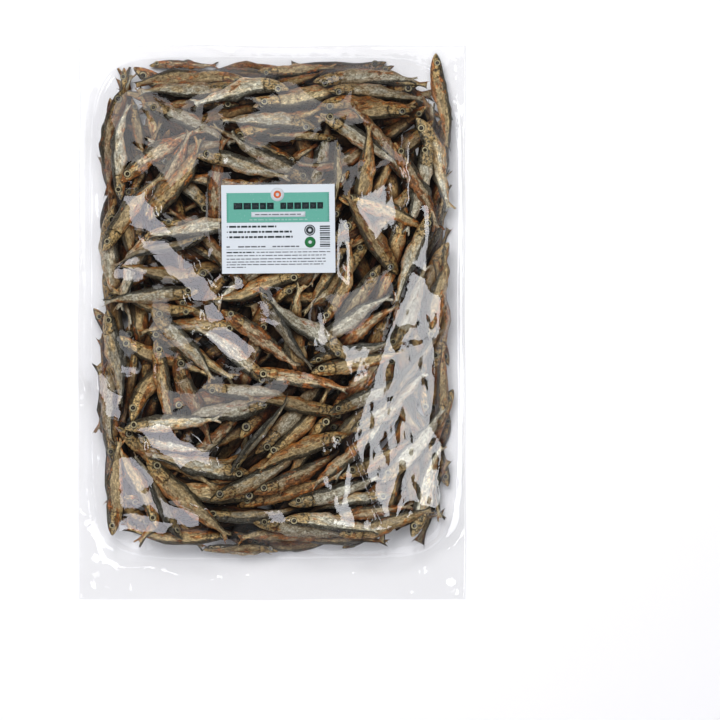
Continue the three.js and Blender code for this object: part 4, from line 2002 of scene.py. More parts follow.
@dataclass(frozen=True)
class PrintedInk:
    """Ink on the label.

    Attributes:
        ink: Its colour.
        rough: Its roughness.
        worn: How far the paper shows through its specks.
    """

    ink: Ink
    rough: float = 0.4
    worn: float = 0.22

    def make(self) -> bpy.types.Material:
        """Give the material.

        Returns:
            The material.
        """
        material, g = new_material(f"print_{self.ink.name.lower()}")
        place = g.add("ShaderNodeTexCoord").outputs["Object"]
        speck = g.ease(g.noise(place, 700.0, 2.0, 0.6), 0.62, 0.74)
        colour = g.mix(g.math("MULTIPLY", speck, self.worn), self.ink.value, Ink.WHITE.value)
        g.show(g.add("ShaderNodeBsdfPrincipled", {"Base Color": colour, "Roughness": self.rough}))
        return material


@dataclass(frozen=True)
class ClearFilm:
    """Clear glossy packing film.

    Attributes:
        name: The material's name.
        tint: What one face of the film lets through.
        steep_tint: What it lets through where it is seen edge-on.
        haze: Share of light that the film scatters.
        rough: Roughness of its gloss.
        gloss: How many single faces its mirror counts for.
        dimmed: How many fewer they are where the film is steep.
        crumple: How many crumples there are to a metre.
        depth: How deep they are.
        dust: Colour of the light that it scatters.
    """

    name: str = "clear_film"
    tint: Colour = (0.995, 0.9955, 0.9955, 1.0)
    steep_tint: Colour = (0.965, 0.967, 0.972, 1.0)
    haze: float = 0.0008
    rough: float = 0.045
    gloss: float = 1.9
    dimmed: float = 1.35
    crumple: float = 34.0
    depth: float = 1.2 * MM
    dust: Colour = (0.9, 0.9, 0.93, 1.0)

    def make(self) -> bpy.types.Material:
        """Give the material.

        Returns:
            The material.
        """
        material, g = new_material(self.name)
        place = g.add("ShaderNodeTexCoord").outputs["Object"]
        crumple = g.noise(g.stretched(place, (1.0, 1.0, 0.2)), self.crumple, 3.0, 0.5)
        cells = g.add("ShaderNodeTexVoronoi", {"Vector": place, "Scale": self.crumple}, feature="F2")
        facets = g.math("MULTIPLY", cells.outputs["Distance"], 0.8)
        normal = g.bump(g.math("ADD", crumple, facets), 0.4, self.depth)
        steep = g.add("ShaderNodeLayerWeight", {"Blend": 0.5, "Normal": normal}).outputs["Facing"]
        seen = g.math("SUBTRACT", 1.0, g.add("ShaderNodeLightPath").outputs["Is Shadow Ray"])
        tint = g.mix(g.math("MULTIPLY", g.ease(steep, 0.04, 0.6), seen), self.tint, self.steep_tint)
        clear = g.add("ShaderNodeBsdfTransparent", {"Color": tint})
        mirror = g.add(
            "ShaderNodeBsdfGlossy", {"Color": WHITE, "Roughness": self.rough, "Normal": normal})
        dust = g.add("ShaderNodeBsdfDiffuse", {"Color": self.dust, "Normal": normal})
        facing = g.math("SUBTRACT", 1.0, g.add("ShaderNodeNewGeometry").outputs["Backfacing"])
        fresnel = g.add("ShaderNodeFresnel", {"IOR": 1.5, "Normal": normal}).outputs[0]
        mirrored = g.times(fresnel, g.ease(steep, 0.06, 0.34), -self.dimmed, self.gloss)
        mirrored = g.math("MULTIPLY", mirrored, g.math("MULTIPLY", facing, seen), clamp=True)
        specks = g.math("MULTIPLY", g.noise(place, 420.0, 3.0, 0.7), self.haze * 2)
        cloudy = g.add("ShaderNodeMixShader", {0: specks, 1: clear.outputs[0], 2: dust.outputs[0]})
        mixed = {0: mirrored, 1: cloudy.outputs[0], 2: mirror.outputs[0]}
        g.show(g.add("ShaderNodeMixShader", mixed))
        return material


@dataclass(frozen=True)
class Facet:
    """A facet of the front film that is drawn flat between the high fish under it.

    Attributes:
        corners: Pixels of its corners, in order round it.
        rise_right: How steeply it rises to the right.
        rise_up: How steeply it rises to the top of the bag.
        ragged: How ragged its edge is.
        eased: How far inside its edge the film starts to come flat, and is flat.
        streaks: Height of the fine streaks across it.
    """

    corners: tuple[tuple[float, float], ...]
    rise_right: float
    rise_up: float
    ragged: float = 1.1 * MM
    eased: tuple[float, float] = (-3.5 * MM, 1.5 * MM)
    streaks: float = 0.045 * MM

    def depth(self, x: np.ndarray, y: np.ndarray) -> np.ndarray:
        """Give how far inside the facet's ragged edge places lie.

        Args:
            x: Places of the grid.
            y: Places of the grid.

        Returns:
            The distances, less than 0 outside it.
        """
        corners = np.array([spot(corner) for corner in self.corners])
        inside = np.zeros(x.shape, dtype=bool)
        nearest = np.full(x.shape, np.inf)
        for (x0, y0), (x1, y1) in zip(corners, np.roll(corners, -1, axis=0)):
            run_x, run_y = x1 - x0, y1 - y0
            share = np.clip(((x - x0) * run_x + (y - y0) * run_y) / (run_x**2 + run_y**2), 0, 1)
            nearest = np.minimum(nearest, np.hypot(x - x0 - share * run_x, y - y0 - share * run_y))
            crossed = x0 + (y - y0) / (run_y + 1e-12) * run_x
            inside ^= ((y0 > y) != (y1 > y)) & (x < crossed)
        ragged = np.sin(x / (3.1 * MM) + 1.7 * np.sin(y / (5.3 * MM)))
        ragged = ragged + np.sin(y / (2.7 * MM) + 1.3 * np.sin(x / (6.1 * MM)))
        return np.where(inside, nearest, -nearest) + self.ragged * ragged

    def drawn(self, film: np.ndarray, fish: np.ndarray, x: np.ndarray, y: np.ndarray) -> np.ndarray:
        """Draw the film flat over the facet.

        Args:
            film: Heights of the film over the grid.
            fish: Heights of the fish.
            x: Places of the grid.
            y: Places of the grid.

        Returns:
            The heights of the film with the facet in it.
        """
        mask = smooth(self.depth(x, y), *self.eased)
        plane = self.rise_right * x + self.rise_up * y
        level = np.quantile((fish - plane)[mask > 0.6], 0.985)
        streak = self.streaks * np.sin((x - y * 0.7) / (1.3 * MM) + np.sin((x + y) / (9 * MM)))
        return film * (1 - mask) + (plane + level + streak) * mask


FACETS = (
    Facet(((122, 196), (148, 190), (173, 234), (166, 250), (140, 238)), 0.149, 0.224),
    Facet(((136, 234), (174, 242), (206, 276), (220, 297), (218, 308), (194, 301), (166, 272)), 0.16, 0.207),
    Facet(((203, 305), (221, 303), (226, 330), (210, 332)), 0.165, 0.195),
    Facet(((199, 333), (226, 322), (252, 347), (250, 364), (227, 361)), 0.17, 0.185),
    Facet(((92, 374), (106, 368), (124, 402), (124, 424), (108, 416)), 0.14, 0.172),
    Facet(((142, 428), (162, 423), (214, 451), (216, 465), (178, 464), (150, 446)), 0.161, 0.156),
    Facet(((160, 498), (206, 512), (204, 528), (170, 525)), 0.163, 0.136),
    Facet(((112, 516), (146, 514), (174, 522), (172, 536), (120, 532)), 0.155, 0.132),
    Facet(((317, 306), (328, 310), (327, 352), (318, 346)), 0.202, 0.189),
    Facet(((405, 140), (438, 140), (441, 206), (405, 208)), -0.3, 0.03),
)


@dataclass(frozen=True)
class PaperLabel:
    """The size and place of the paper label on the front of the bag.

    Attributes:
        width: Side to side.
        length: Bottom to top.
        x: Its middle.
        y: Its middle.
        turn: How far it is turned, in degrees.
        gauge: Thickness of the paper.
        kept_flat: How far past its edges it keeps the film flat.
        freed: Over how far the film comes free of it from there.
    """

    width: float = 101 * MM
    length: float = 79 * MM
    x: float = 6.5 * MM
    y: float = 83 * MM
    turn: float = 0.6
    gauge: float = 0.2 * MM
    kept_flat: float = 1.5 * MM
    freed: float = 11 * MM

    def behind(self, x: np.ndarray, y: np.ndarray) -> np.ndarray:
        """Give a mask of the film that the label keeps flat.

        Args:
            x: Places on the bag.
            y: Places on the bag.

        Returns:
            1 behind the label, falling to 0 a little past its edges.
        """
        cos, sin = math.cos(math.radians(self.turn)), math.sin(math.radians(self.turn))
        across = (x - self.x) * cos + (y - self.y) * sin
        along = (y - self.y) * cos - (x - self.x) * sin
        past = np.maximum(np.abs(across) - self.width / 2, np.abs(along) - self.length / 2)
        return 1 - np.clip((past - self.kept_flat) / self.freed, 0, 1)

    def on_bag(self, across: np.ndarray, along: np.ndarray) -> tuple[np.ndarray, np.ndarray]:
        """Turn places on the label, from its middle, into places on the bag.

        Args:
            across: Places on the label, sideways.
            along: Places on the label, upwards.

        Returns:
            X and Y.
        """
        cos, sin = math.cos(math.radians(self.turn)), math.sin(math.radians(self.turn))
        return self.x + across * cos - along * sin, self.y + across * sin + along * cos


@dataclass(frozen=True)
class Creasing:
    """A scatter of small creases in the film, with sizes in millimetres.

    Attributes:
        count: How many there are.
        long: The shortest and the longest.
        high: The lowest and the highest.
        wide: The narrowest and the widest.
    """

    count: int
    long: tuple[float, float]
    high: tuple[float, float]
    wide: tuple[float, float]


@dataclass
class FilmBag:
    """The two sheets of film, drawn over the heap and under it.

    Attributes:
        form: The bag's form.
        heap: The heap inside.
        label: The label, which keeps the film flat behind it.
        gauge: Thickness of a sheet.
        stiff: Radius that the front sheet can't bend below between the fish it touches.
        stiff_edge: The same where it comes down at the heap's edge.
        gap: Room between the film and the fish.
        softer: How far the sheet evens out before it meets the fish again, in cells of the heap.
        soft: How far it evens out after that.
        flattened: How far it evens out behind the label.
        weld: Width of the weld along each edge.
        foot: How steeply the front sheet comes down past the heap.
        highest: Height that no fold of the front sheet passes.
        deepest: The deepest hollow that the sheets are bridged over.
        waves: Spreads of the waves of the outer edge, two for the sides and two for the ends.
        drawn_in: Half of how far those waves draw the sides and the ends in, as a share.
        creases: The small creases all over the front sheet.
        puckers: The short ones that cross its margin.
        outermost: How near to the heap's outline it starts down, where 1 is on it.
        foot_ragged: How unevenly it does.
        bed: Room between the fish and the film behind the label.
        crumples: Height of the fine and of the coarse crumples on the taut slopes.
        slope_end: Where along the bag the taut slopes start to end, and where they have ended.
        end_ragged: How unevenly they do.
        fall: How far they drop off there.
        off_floor: Room between the back sheet and the floor.
        apart: The least room between the two sheets.
    """

    form: BagForm
    heap: Heap
    label: PaperLabel
    gauge: float = 0.12 * MM
    stiff: float = 0.26
    stiff_edge: float = 0.022
    gap: float = 0.35 * MM
    softer: float = 1.5
    soft: float = 0.8
    flattened: float = 8
    weld: float = 4.5 * MM
    foot: float = 1.5
    highest: float = 56.5 * MM
    deepest: float = 50 * MM
    waves: tuple[float, ...] = (33 * MM, 71 * MM, 29 * MM, 83 * MM)
    drawn_in: tuple[float, float] = (0.0045, 0.003)
    creases: Creasing = Creasing(170, long=(18, 90), high=(0.15, 0.75), wide=(2.5, 6))
    puckers: Creasing = Creasing(130, long=(9, 32), high=(0.3, 1.1), wide=(1.6, 4.5))
    outermost: float = 1.035
    foot_ragged: float = 3 * MM
    bed: float = 1.3 * MM
    crumples: tuple[float, float] = (0.18 * MM, 0.12 * MM)
    slope_end: tuple[float, float] = (44 * MM, 74 * MM)
    end_ragged: float = 11 * MM
    fall: float = 60 * MM
    off_floor: float = 0.25 * MM
    apart: float = 0.4 * MM

    def __post_init__(self) -> None:
        """Work out how the front sheet lies."""
        self.front = self.drawn_over()

    def rolled(self, height: np.ndarray, radius: float) -> np.ndarray:
        """Fill the hollows of a surface that a bowl of a given radius can't reach.

        Args:
            height: The surface.
            radius: The bowl's radius at its lowest point.

        Returns:
            The surface with its hollows bridged.
        """
        cell = self.heap.cell
        most = int(math.sqrt(2 * radius * self.deepest) / cell)
        for sign in (1, -1):
            for axis in (0, 1):
                padded = np.pad(height, [(most, most) if a == axis else (0, 0) for a in (0, 1)], "edge")
                best = height.copy()
                for step in range(-most, most + 1):
                    part = np.take(padded, np.arange(height.shape[axis]) + most + step, axis=axis)
                    drop = (step * cell) ** 2 / (2 * radius)
                    best = np.maximum(best, part - drop) if sign > 0 else np.minimum(best, part + drop)
                height = best
        return height

    def drawn_over(self) -> np.ndarray:
        """Draw the front sheet over the fish.

        Returns:
            Its heights over the grid.
        """
        x, y = self.heap.grid
        margin, reach = self.form.margin_height(x, y), self.form.reach(x, y)
        fish = np.maximum(self.heap.top + self.gap, margin)
        outer = smooth(reach, 0.92, 1.0)
        film = self.rolled(fish, self.stiff) * (1 - outer) + self.rolled(fish, self.stiff_edge) * outer
        inward = self.form.to_edge(x, y)
        outside = (self.outermost - reach) * self.form.half_width
        outside = outside + self.foot_ragged * self.uneven(9, 5.0, 5.0)
        steepest = margin + np.clip(outside, 0, np.maximum(0, inward - self.weld)) * self.foot
        film = np.maximum(np.minimum(film, steepest), fish)
        film = blurred(np.maximum(blurred(film, self.softer), fish), self.soft)
        film = np.maximum(film, self.taut(fish)) + self.creased()
        for facet in FACETS:
            film = facet.drawn(film, fish, x, y)
        film = np.minimum(film, self.highest)
        behind = self.label.behind(x, y)
        flat = blurred(film, self.flattened)
        flat = flat + np.max(np.where(behind > 0.9, fish - flat, 0)) + self.bed
        film = film * (1 - behind) + flat * behind
        edge = smooth(inward, 0, self.weld)
        return margin * (1 - edge) + film * edge

    def height_at(self, x: np.ndarray, y: np.ndarray) -> np.ndarray:
        """Give how high the front sheet is.

        Args:
            x: Places on the bag.
            y: Places on the bag.

        Returns:
            The heights there.
        """
        column = (x - self.heap.xs[0]) / self.heap.cell
        row = (y - self.heap.ys[0]) / self.heap.cell
        i, j = column.astype(int), row.astype(int)
        u, v = column - i, row - j
        near = self.front[i, j] * (1 - u) + self.front[i + 1, j] * u
        far = self.front[i, j + 1] * (1 - u) + self.front[i + 1, j + 1] * u
        return near * (1 - v) + far * v

    def uneven(self, seed: int, across: float, along: float) -> np.ndarray:
        """Give a cloudy unevenness of about 1 either way.

        Args:
            seed: Start of its draws.
            across: Its spread across the bag, in cells.
            along: Its spread along the bag, in cells.

        Returns:
            Its values over the grid.
        """
        rough = np.random.default_rng(SEED + seed).normal(size=self.heap.top.shape)
        rough = blurred(blurred(rough, across, axes=(0,)), along, axes=(1,))
        return rough / rough.std()

    def creased(self) -> np.ndarray:
        """Give the sharp low creases of the front sheet.

        Returns:
            Their heights over the grid.
        """
        random = np.random.default_rng(SEED + 5)
        x, y = self.heap.grid
        total = np.zeros_like(x)
        width, length = self.form.width, self.form.length
        for _ in range(self.creases.count):
            middle = (random.uniform(-0.5, 0.5) * width, random.uniform(-0.5, 0.5) * length)
            taut = float(self.form.sloped(*np.array(middle))) > 1 * MM
            side = width / 2 - abs(middle[0]) < length / 2 - abs(middle[1])
            if taut:
                turn = math.radians(random.normal(64, 16))
            else:
                turn = random.normal(0 if side else math.pi / 2, 0.7)
            long = random.uniform(*self.creases.long) * MM
            high = random.uniform(*self.creases.high) * MM * (0.6 if taut else 0.8)
            wide = random.uniform(*self.creases.wide) * MM
            bow = random.normal(0, 0.25)
            along = (x - middle[0]) * math.cos(turn) + (y - middle[1]) * math.sin(turn)
            aside = (y - middle[1]) * math.cos(turn) - (x - middle[0]) * math.sin(turn)
            aside = aside + bow * along * along / long
            fade = np.clip(1 - (2 * along / long) ** 2, 0, 1)
            total += random.choice([-1, 1]) * high * fade * np.exp(-np.abs(aside) / wide)
        return total + self.puckered(random)

    def puckered(self, random: np.random.Generator) -> np.ndarray:
        """Give the short creases that run from the seals towards the heap.

        Args:
            random: The draws of their places and sizes.

        Returns:
            Their heights over the grid.
        """
        x, y = self.heap.grid
        total = np.zeros_like(x)
        halves = (self.form.width / 2, self.form.length / 2)
        ways = ((1, 0), (-1, 0), (0, 1), (0, -1))
        for _ in range(self.puckers.count):
            way = ways[random.choice(4, p=(0.27, 0.27, 0.16, 0.3))]
            half, other = halves if way[0] else halves[::-1]
            start, inset = random.uniform(-1, 1) * other, random.uniform(3, 30) * MM
            lean = random.normal(0, 0.35)
            down = half - np.where(way[0], way[0] * x, way[1] * y) - inset
            aside = np.where(way[0], y, x) - start - lean * down
            long = random.uniform(*self.puckers.long) * MM
            wide = random.uniform(*self.puckers.wide) * MM
            fade = np.clip(1 - (2 * down / long - 0.4) ** 2, 0, 1)
            high = random.choice([-0.6, 1]) * random.uniform(*self.puckers.high) * MM
            total += high * fade * np.exp(-np.abs(aside) / wide)
        return total * smooth(self.form.reach(x, y), 0.94, 1.0)

    def taut(self, fish: np.ndarray) -> np.ndarray:
        """Give the flat slopes that the film is drawn into right of its crease.

        Args:
            fish: Heights of the fish over the grid.

        Returns:
            Heights of the slopes, very low where the film isn't drawn taut.
        """
        x, y = self.heap.grid
        drop = self.form.sloped(x, y)
        past = drop / self.form.slope
        within = (past > 2 * MM) & (self.form.reach(x, y) < 0.9)
        level = np.quantile((fish + past * self.form.slope)[within], 0.985)
        fine, coarse = self.crumples
        crumpled = fine * self.uneven(10, 1.25, 2.6) + coarse * self.uneven(11, 3.5, 7.0)
        slope = level - past * self.form.slope + crumpled
        ragged = self.form.reach(x, y) + 0.03 * self.uneven(12, 3.0, 6.0)
        upper = y + self.end_ragged * self.uneven(13, 2.2, 4.5)
        shoulder = smooth(ragged, 0.88, 0.98) + smooth(upper, *self.slope_end)
        return np.where(past > 0, slope - shoulder * self.fall, -1.0)

    def sheet(self, name: str, height: np.ndarray, upwards: bool) -> bpy.types.Object:
        """Make a sheet from its heights.

        Args:
            name: The sheet's name.
            height: Heights over the grid.
            upwards: Whether the outside of the sheet faces up.

        Returns:
            The sheet, as a closed thin solid.
        """
        count_x, count_y = height.shape
        sheet = new_grid(name, count_x - 1, count_y - 1)
        mesh = sheet.data
        points = np.empty(len(mesh.vertices) * 3, dtype=np.float32)
        mesh.vertices.foreach_get("co", points)
        points = points.reshape(-1, 3)
        points[:, 0] *= self.form.width
        points[:, 1] *= self.form.length
        column, row = self.heap.cells(points[:, 0], points[:, 1])
        points[:, 2] = height[column, row]
        points[:, :2] *= self.trimmed(points[:, 0], points[:, 1])
        mesh.vertices.foreach_set("co", points.ravel())
        if not upwards:
            mesh.flip_normals()
        mesh.update()
        thicken(sheet, self.gauge)
        sheet.data.shade_smooth()
        return sheet

    def trimmed(self, x: np.ndarray, y: np.ndarray) -> np.ndarray:
        """Give how far places are drawn in so that the film's outer edge isn't quite straight.

        Args:
            x: Places on the sheet.
            y: Places on the sheet.

        Returns:
            The share of x and of y that is kept, side by side.
        """
        up_side, up_side_too, along_end, along_end_too = self.waves
        aside = 1 + np.sin(y / up_side + np.sign(x)) * np.cos(y / up_side_too)
        along = 1 + np.sin(x / along_end + np.sign(y)) * np.cos(x / along_end_too)
        outer_x = smooth(np.abs(x) / self.form.width, 0.46, 0.5)
        outer_y = smooth(np.abs(y) / self.form.length, 0.47, 0.5)
        kept_x = 1 - self.drawn_in[0] * aside * outer_x
        kept_y = 1 - self.drawn_in[1] * along * outer_y
        return np.stack([kept_x, kept_y], -1)

    def dress(self) -> None:
        """Make both sheets and give them their film."""
        film = ClearFilm().make()
        under = self.form.underside(*self.heap.grid) + self.off_floor
        back = np.minimum(under, self.front - self.apart)
        for name, height, upwards in (("film_front", self.front, True), ("film_back", back, False)):
            sheet = self.sheet(name, height, upwards)
            sheet.data.materials.append(film)
            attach(sheet, "root")
            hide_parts("bag")
            LOG.info("%s: %d faces", name, len(sheet.data.polygons))


@dataclass(frozen=True)
class Bar:
    """A printed bar, in millimetres from the label's middle.

    Attributes:
        ink: Its colour.
        left: Its left edge.
        bottom: Its lower edge.
        right: Its right edge.
        top: Its upper edge.
        level: Which layer of print it is in, from 1.
        scallop: Depth of the scallops along its sides.
    """

    ink: Ink
    left: float
    bottom: float
    right: float
    top: float
    level: int = 1
    scallop: float = 0.0


@dataclass(frozen=True)
class Disc:
    """A printed disc or ring, in millimetres from the label's middle.

    Attributes:
        ink: Its colour.
        x: Its middle.
        y: Its middle.
        radius: Its outer radius.
        hole: Its inner radius.
        level: Which layer of print it is in, from 1.
    """

    ink: Ink
    x: float
    y: float
    radius: float
    hole: float = 0.0
    level: int = 1


Shapes = list[Bar | Disc]


@dataclass(frozen=True)
class PrintLayout:
    """The plain bars and discs printed on the label, in millimetres from its middle.

    Attributes:
        left: Where the print starts.
        right: Where it ends.
        gap: Space between the bars of a row.
    """

    left: float = -46.3
    right: float = 45.9
    gap: float = 0.9

    def shapes(self) -> Shapes:
        """Give all the printed shapes.

        Returns:
            The shapes, in the order in which they are printed.
        """
        shapes: Shapes = [Bar(Ink.MINT, self.left, 5.8, self.right, 32.3, scallop=0.7)]
        shapes += self.title()
        shapes.append(Bar(Ink.WHITE, -23.9, 10.6, 24.2, 15.2, level=2))
        shapes += self.words(Ink.GREY, -20.6, 21.0, 12.9, 1.0, 3, seed=1)
        shapes += self.words(Ink.PALE, -25.7, 26.4, 8.2, 1.1, 2, seed=2)
        return shapes + self.points() + self.badges() + self.stripes() + self.small_rows()

    def title(self) -> Shapes:
        """Give the disc at the head of the label and the bold bars below it.

        Returns:
            The shapes.
        """
        shapes: Shapes = [
            Disc(Ink.WHITE, -0.6, 30.7, 6.1, level=2),
            Disc(Ink.ORANGE, -0.6, 30.7, 3.4, hole=1.5, level=3),
        ]
        for left, widths in ((-39.6, (7.9, 6.6, 6.2, 5.4, 6.0)), (2.0, (5.2, 5.4, 6.0, 6.2, 5.6, 5.2))):
            for width in widths:
                shapes.append(Bar(Ink.DARK, left, 17.6, left + width, 23.4, level=2))
                left += width + self.gap
        return shapes

    def words(
        self, ink: Ink, left: float, right: float, middle: float, tall: float, level: int, seed: int
    ) -> Shapes:
        """Give a row of bars of uneven length.

        Args:
            ink: Their colour.
            left: Where the row starts.
            right: Where it ends.
            middle: Its height on the label.
            tall: Height of the bars.
            level: Their layer of print.
            seed: Start of the draws of their lengths.

        Returns:
            The bars.
        """
        random = np.random.default_rng(seed)
        shapes: Shapes = []
        while left < right - 1.0:
            end = min(right, left + random.uniform(1.6, 6.4))
            shapes.append(Bar(ink, left, middle - tall / 2, end, middle + tall / 2, level))
            left = end + self.gap
        return shapes

    def points(self) -> Shapes:
        """Give the three bold rows with a dot before each.

        Returns:
            The shapes.
        """
        shapes: Shapes = []
        for seed, (height, right) in enumerate(((2.2, -1.8), (-2.5, 11.9), (-7.1, 12.7)), 10):
            shapes.append(Disc(Ink.DARK, -45.4, height, 0.55))
            shapes += self.words(Ink.DARK, -43.7, right, height, 1.7, 1, seed)
        return shapes

    def badges(self) -> Shapes:
        """Give the two round badges.

        Returns:
            The discs.
        """
        return [
            Disc(Ink.DARK, 28.0, -1.4, 4.9),
            Disc(Ink.WHITE, 28.0, -1.4, 4.0, hole=3.5, level=2),
            Disc(Ink.WHITE, 28.0, -1.4, 1.5, level=2),
            Disc(Ink.GREEN, 28.2, -12.1, 4.9),
            Disc(Ink.WHITE, 28.2, -12.1, 1.5, level=2),
        ]

    def stripes(self) -> Shapes:
        """Give the block of stripes at the label's right.

        Returns:
            The stripes.
        """
        random = np.random.default_rng(7)
        shapes: Shapes = []
        height = 2.5
        while height > -16.2:
            tall = random.choice([0.5, 0.8, 1.2])
            shapes.append(Bar(Ink.DARK, 36.9, height - tall, self.right, height))
            height -= tall + random.choice([0.5, 0.7, 1.0])
        return shapes

    def small_rows(self) -> Shapes:
        """Give the rows of small bars and the rule over them.

        Returns:
            The shapes.
        """
        shapes: Shapes = []
        for seed, (left, right) in enumerate(((self.left, -41.6), (-36.0, -11.6), (-5.4, 18.4)), 20):
            shapes += self.words(Ink.GREY, left, right, -15.7, 1.2, 1, seed)
        shapes.append(Bar(Ink.GREY, self.left, -18.3, 46.0, -18.0))
        shapes += self.words(Ink.DARK, self.left, -21.5, -20.7, 1.1, 1, seed=23)
        shapes += self.words(Ink.GREY, -19.6, 46.0, -20.7, 0.85, 1, seed=30)
        rows = ((-23.6, 42.0), (-26.6, 41.6), (-29.2, 42.0), (-31.6, 39.8), (-33.9, -29.3))
        for seed, (height, right) in enumerate(rows, 31):
            shapes += self.words(Ink.GREY, self.left, right, height, 0.85, 1, seed)
        return shapes


@dataclass(frozen=True)
class LaidLabel:
    """The label's paper and print, laid on the film.

    Attributes:
        label: The label's size and place.
        film: The film that it lies on.
        lift: Height of the paper's face over the film.
        ink_gauge: Height of one layer of print over the last.
        columns: Faces across the paper.
        rows: Faces along it.
        step: The longest side of a face of print, in millimetres.
        fine_step: The same along a scalloped side.
        around: Points round a printed disc.
        scallop: Length of one scallop, in millimetres.
        smallest_hole: The least radius of a disc's hole, in millimetres.
        sunk: How far a layer of print goes down into the last, as a share of its height.
    """

    label: PaperLabel
    film: FilmBag
    lift: float = 0.3 * MM
    ink_gauge: float = 0.06 * MM
    columns: int = 50
    rows: int = 40
    step: float = 3.0
    fine_step: float = 0.55
    around: int = 32
    scallop: float = 2.2
    smallest_hole: float = 0.02
    sunk: float = 0.6

    def place(self, across: np.ndarray, along: np.ndarray, lift: float) -> np.ndarray:
        """Give points over the film, from places on the label.

        Args:
            across: Places from its middle, sideways.
            along: Places from its middle, upwards.
            lift: Height over the film.

        Returns:
            The points.
        """
        x, y = self.label.on_bag(across, along)
        return np.stack([x, y, self.film.height_at(x, y) + lift], -1)

    def ride(self, piece: bpy.types.Object) -> None:
        """Let a piece ride on the bag in the label's place, and report it.

        Args:
            piece: The piece.
        """
        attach(piece, "root")
        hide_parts("label")
        LOG.info("%s: %d faces", piece.name, len(piece.data.polygons))

    def dress(self) -> None:
        """Make the paper and lay the print on it."""
        paper = new_grid("label_paper", self.columns, self.rows)
        points = np.empty(len(paper.data.vertices) * 3)
        paper.data.vertices.foreach_get("co", points)
        across, along, _ = points.reshape(-1, 3).T
        points = self.place(across * self.label.width, along * self.label.length, self.lift)
        paper.data.vertices.foreach_set("co", points.ravel())
        thicken(paper, self.label.gauge)
        paper.data.materials.append(LabelPaper().make())
        self.ride(paper)
        self.dress_print()

    def dress_print(self) -> None:
        """Lay the print on the paper, one piece for each colour."""
        shapes = PrintLayout().shapes()
        for ink in Ink:
            strands = Strands()
            for shape in shapes:
                if shape.ink is ink:
                    self.lay(strands, shape)
            piece = strands.mesh(f"label_print_{ink.name.lower()}")
            piece.data.materials.append(PrintedInk(ink).make())
            self.ride(piece)

    def lay(self, strands: Strands, shape: Bar | Disc) -> None:
        """Add a printed shape as a thin closed plate.

        Args:
            strands: The mesh in the making.
            shape: The bar or disc.
        """
        if isinstance(shape, Bar):
            tall, step = shape.top - shape.bottom, self.fine_step if shape.scallop else self.step
            columns = max(2, math.ceil((shape.right - shape.left) / self.step) + 1)
            rows = max(2, math.ceil(tall / step) + 1)
            u, v = np.meshgrid(np.linspace(0, 1, columns), np.linspace(0, 1, rows), indexing="ij")
            inset = shape.scallop * np.abs(np.sin(v * tall * math.pi / self.scallop))
            across = (shape.left + inset) * (1 - u) + (shape.right - inset) * u
            along = shape.bottom + v * tall
        else:
            turns = np.arange(self.around + 1) * (2 * math.pi / self.around)
            radii = np.array([max(shape.hole, self.smallest_hole), shape.radius])
            turn, ring = np.meshgrid(turns, radii, indexing="ij")
            across = shape.x - np.cos(turn) * ring
            along = shape.y + np.sin(turn) * ring
        across, along = across * MM, along * MM
        base = self.lift + shape.level * self.ink_gauge
        upper = self.place(across, along, base)
        lower = self.place(across, along, base - self.ink_gauge * self.sunk)
        chart = np.stack([across / self.label.width, along / self.label.length], -1) + 0.5
        strands.plate(np.stack([upper, lower]), chart, closed=isinstance(shape, Disc))


@dataclass(frozen=True)
class Softbox:
    """A softbox that faces the middle of the bag.

    Attributes:
        name: The light's name.
        place: Where it hangs.
        size: Its width and height.
        radiance: How bright its face is.
        mirrored: Whether the film shows its image.
        colour: Colour of its light.
    """

    name: str
    place: tuple[float, float, float]
    size: tuple[float, float]
    radiance: float
    mirrored: bool = True
    colour: tuple[float, float, float] = (1.0, 0.99, 1.0)

    def hang(self) -> None:
        """Hang it, turned to the middle of the bag."""
        light = bpy.data.lights.new(self.name, "AREA")
        light.shape = "RECTANGLE"
        light.size, light.size_y = self.size
        light.energy = self.radiance * self.size[0] * self.size[1] * math.pi
        light.color = self.colour
        box = bpy.data.objects.new(self.name, light)
        box.visible_glossy = self.mirrored
        box.location = self.place
        box.rotation_euler = box.location.to_track_quat("Z", "Y").to_euler()
        bpy.context.collection.objects.link(box)


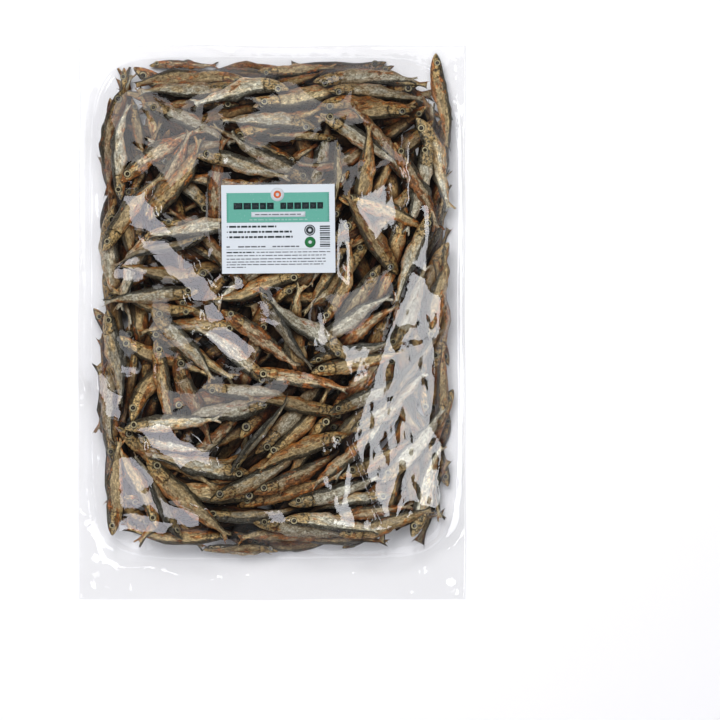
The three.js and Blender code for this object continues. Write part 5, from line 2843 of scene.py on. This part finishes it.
@dataclass(frozen=True)
class Studio:
    """The floor, the lights and the camera.

    Attributes:
        height: How high the camera stands.
        sensor: Width of the camera's sensor, in millimetres.
        view: Width of the floor that the photograph shows.
        floor: Side of the floor.
        floor_colour: Its colour.
        wall: Colour of the light that the walls give.
        softboxes: The lights.
    """

    height: float = 4.6
    sensor: float = 36.0
    view: float = 2 * FRAME_CENTRE_PIXEL[0] * PIXEL
    floor: float = 6.0
    floor_colour: Colour = (0.94, 0.94, 0.95, 1.0)
    wall: Colour = (0.95, 0.97, 1.0, 1.0)
    softboxes: tuple[Softbox, ...] = (
        Softbox("softbox_right", (0.87, -0.14, 2.1), (1.0, 0.58), 5.3, colour=(0.96, 0.97, 1.0)),
        Softbox("softbox_left", (-0.87, -0.83, 2.1), (0.9, 0.8), 4.0, colour=(0.95, 0.93, 1.0)),
        Softbox("softbox_top", (-0.45, 0.88, 2.3), (1.25, 1.45), 1.5),
        Softbox("key", (-0.45, 1.15, 2.2), (1.4, 1.4), 8.1, mirrored=False),
        Softbox("fill", (0.2, -1.6, 2.0), (1.6, 1.0), 1.9, mirrored=False),
    )

    def build(self) -> None:
        """Make the whole studio."""
        self.make_floor()
        self.make_world()
        for softbox in self.softboxes:
            softbox.hang()
        self.make_camera()
        bpy.context.scene.view_settings.view_transform = "Standard"

    def make_floor(self) -> None:
        """Make the pale floor."""
        bpy.ops.object.select_all(action="DESELECT")
        bpy.ops.mesh.primitive_plane_add(size=1, location=(0, 0, 0))
        floor = bpy.context.object
        floor.name = floor.data.name = "studio_floor"
        for vertex in floor.data.vertices:
            vertex.co = (vertex.co.x * self.floor, vertex.co.y * self.floor, 0.0)
        material, g = new_material("studio_floor")
        g.show(g.add("ShaderNodeBsdfPrincipled", {"Base Color": self.floor_colour, "Roughness": 0.9}))
        floor.data.materials.append(material)

    def make_world(self) -> None:
        """Make the room round the set, with pale walls under a dark ceiling."""
        world = bpy.data.worlds.new("room")
        bpy.context.scene.world = world
        world.use_nodes = True
        g = Graph(world.node_tree)
        way = g.add("ShaderNodeTexCoord").outputs["Generated"]
        wall = g.ease(g.split(way)[2], 0.62, 0.2)
        back = world.node_tree.nodes["Background"]
        g.feed(back.inputs["Color"], self.wall)
        g.feed(back.inputs["Strength"], g.math("MULTIPLY_ADD", wall, 0.3, 0.008))

    def make_camera(self) -> None:
        """Hang the camera over the middle of the photograph's frame, looking down."""
        camera = bpy.data.cameras.new("camera")
        camera.sensor_width = self.sensor
        camera.sensor_fit = "HORIZONTAL"
        camera.lens = self.sensor * self.height / self.view
        thing = bpy.data.objects.new("camera", camera)
        thing.location = (*spot(FRAME_CENTRE_PIXEL), self.height)
        bpy.context.collection.objects.link(thing)
        bpy.context.scene.camera = thing


def main() -> None:
    """Build the bag of sprats and the studio."""
    logging.basicConfig(level=logging.INFO, format="%(message)s")
    low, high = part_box("bag")
    form = BagForm(width=high[0] - low[0], length=high[1] - low[1]).loosened()
    Studio().build()
    heap = Heap(form)
    heap.pile()
    SpratMaker(heap).dress()
    label = PaperLabel()
    film = FilmBag(form, heap, label)
    film.dress()
    LaidLabel(label, film).dress()


if __name__ == "__main__":
    main()
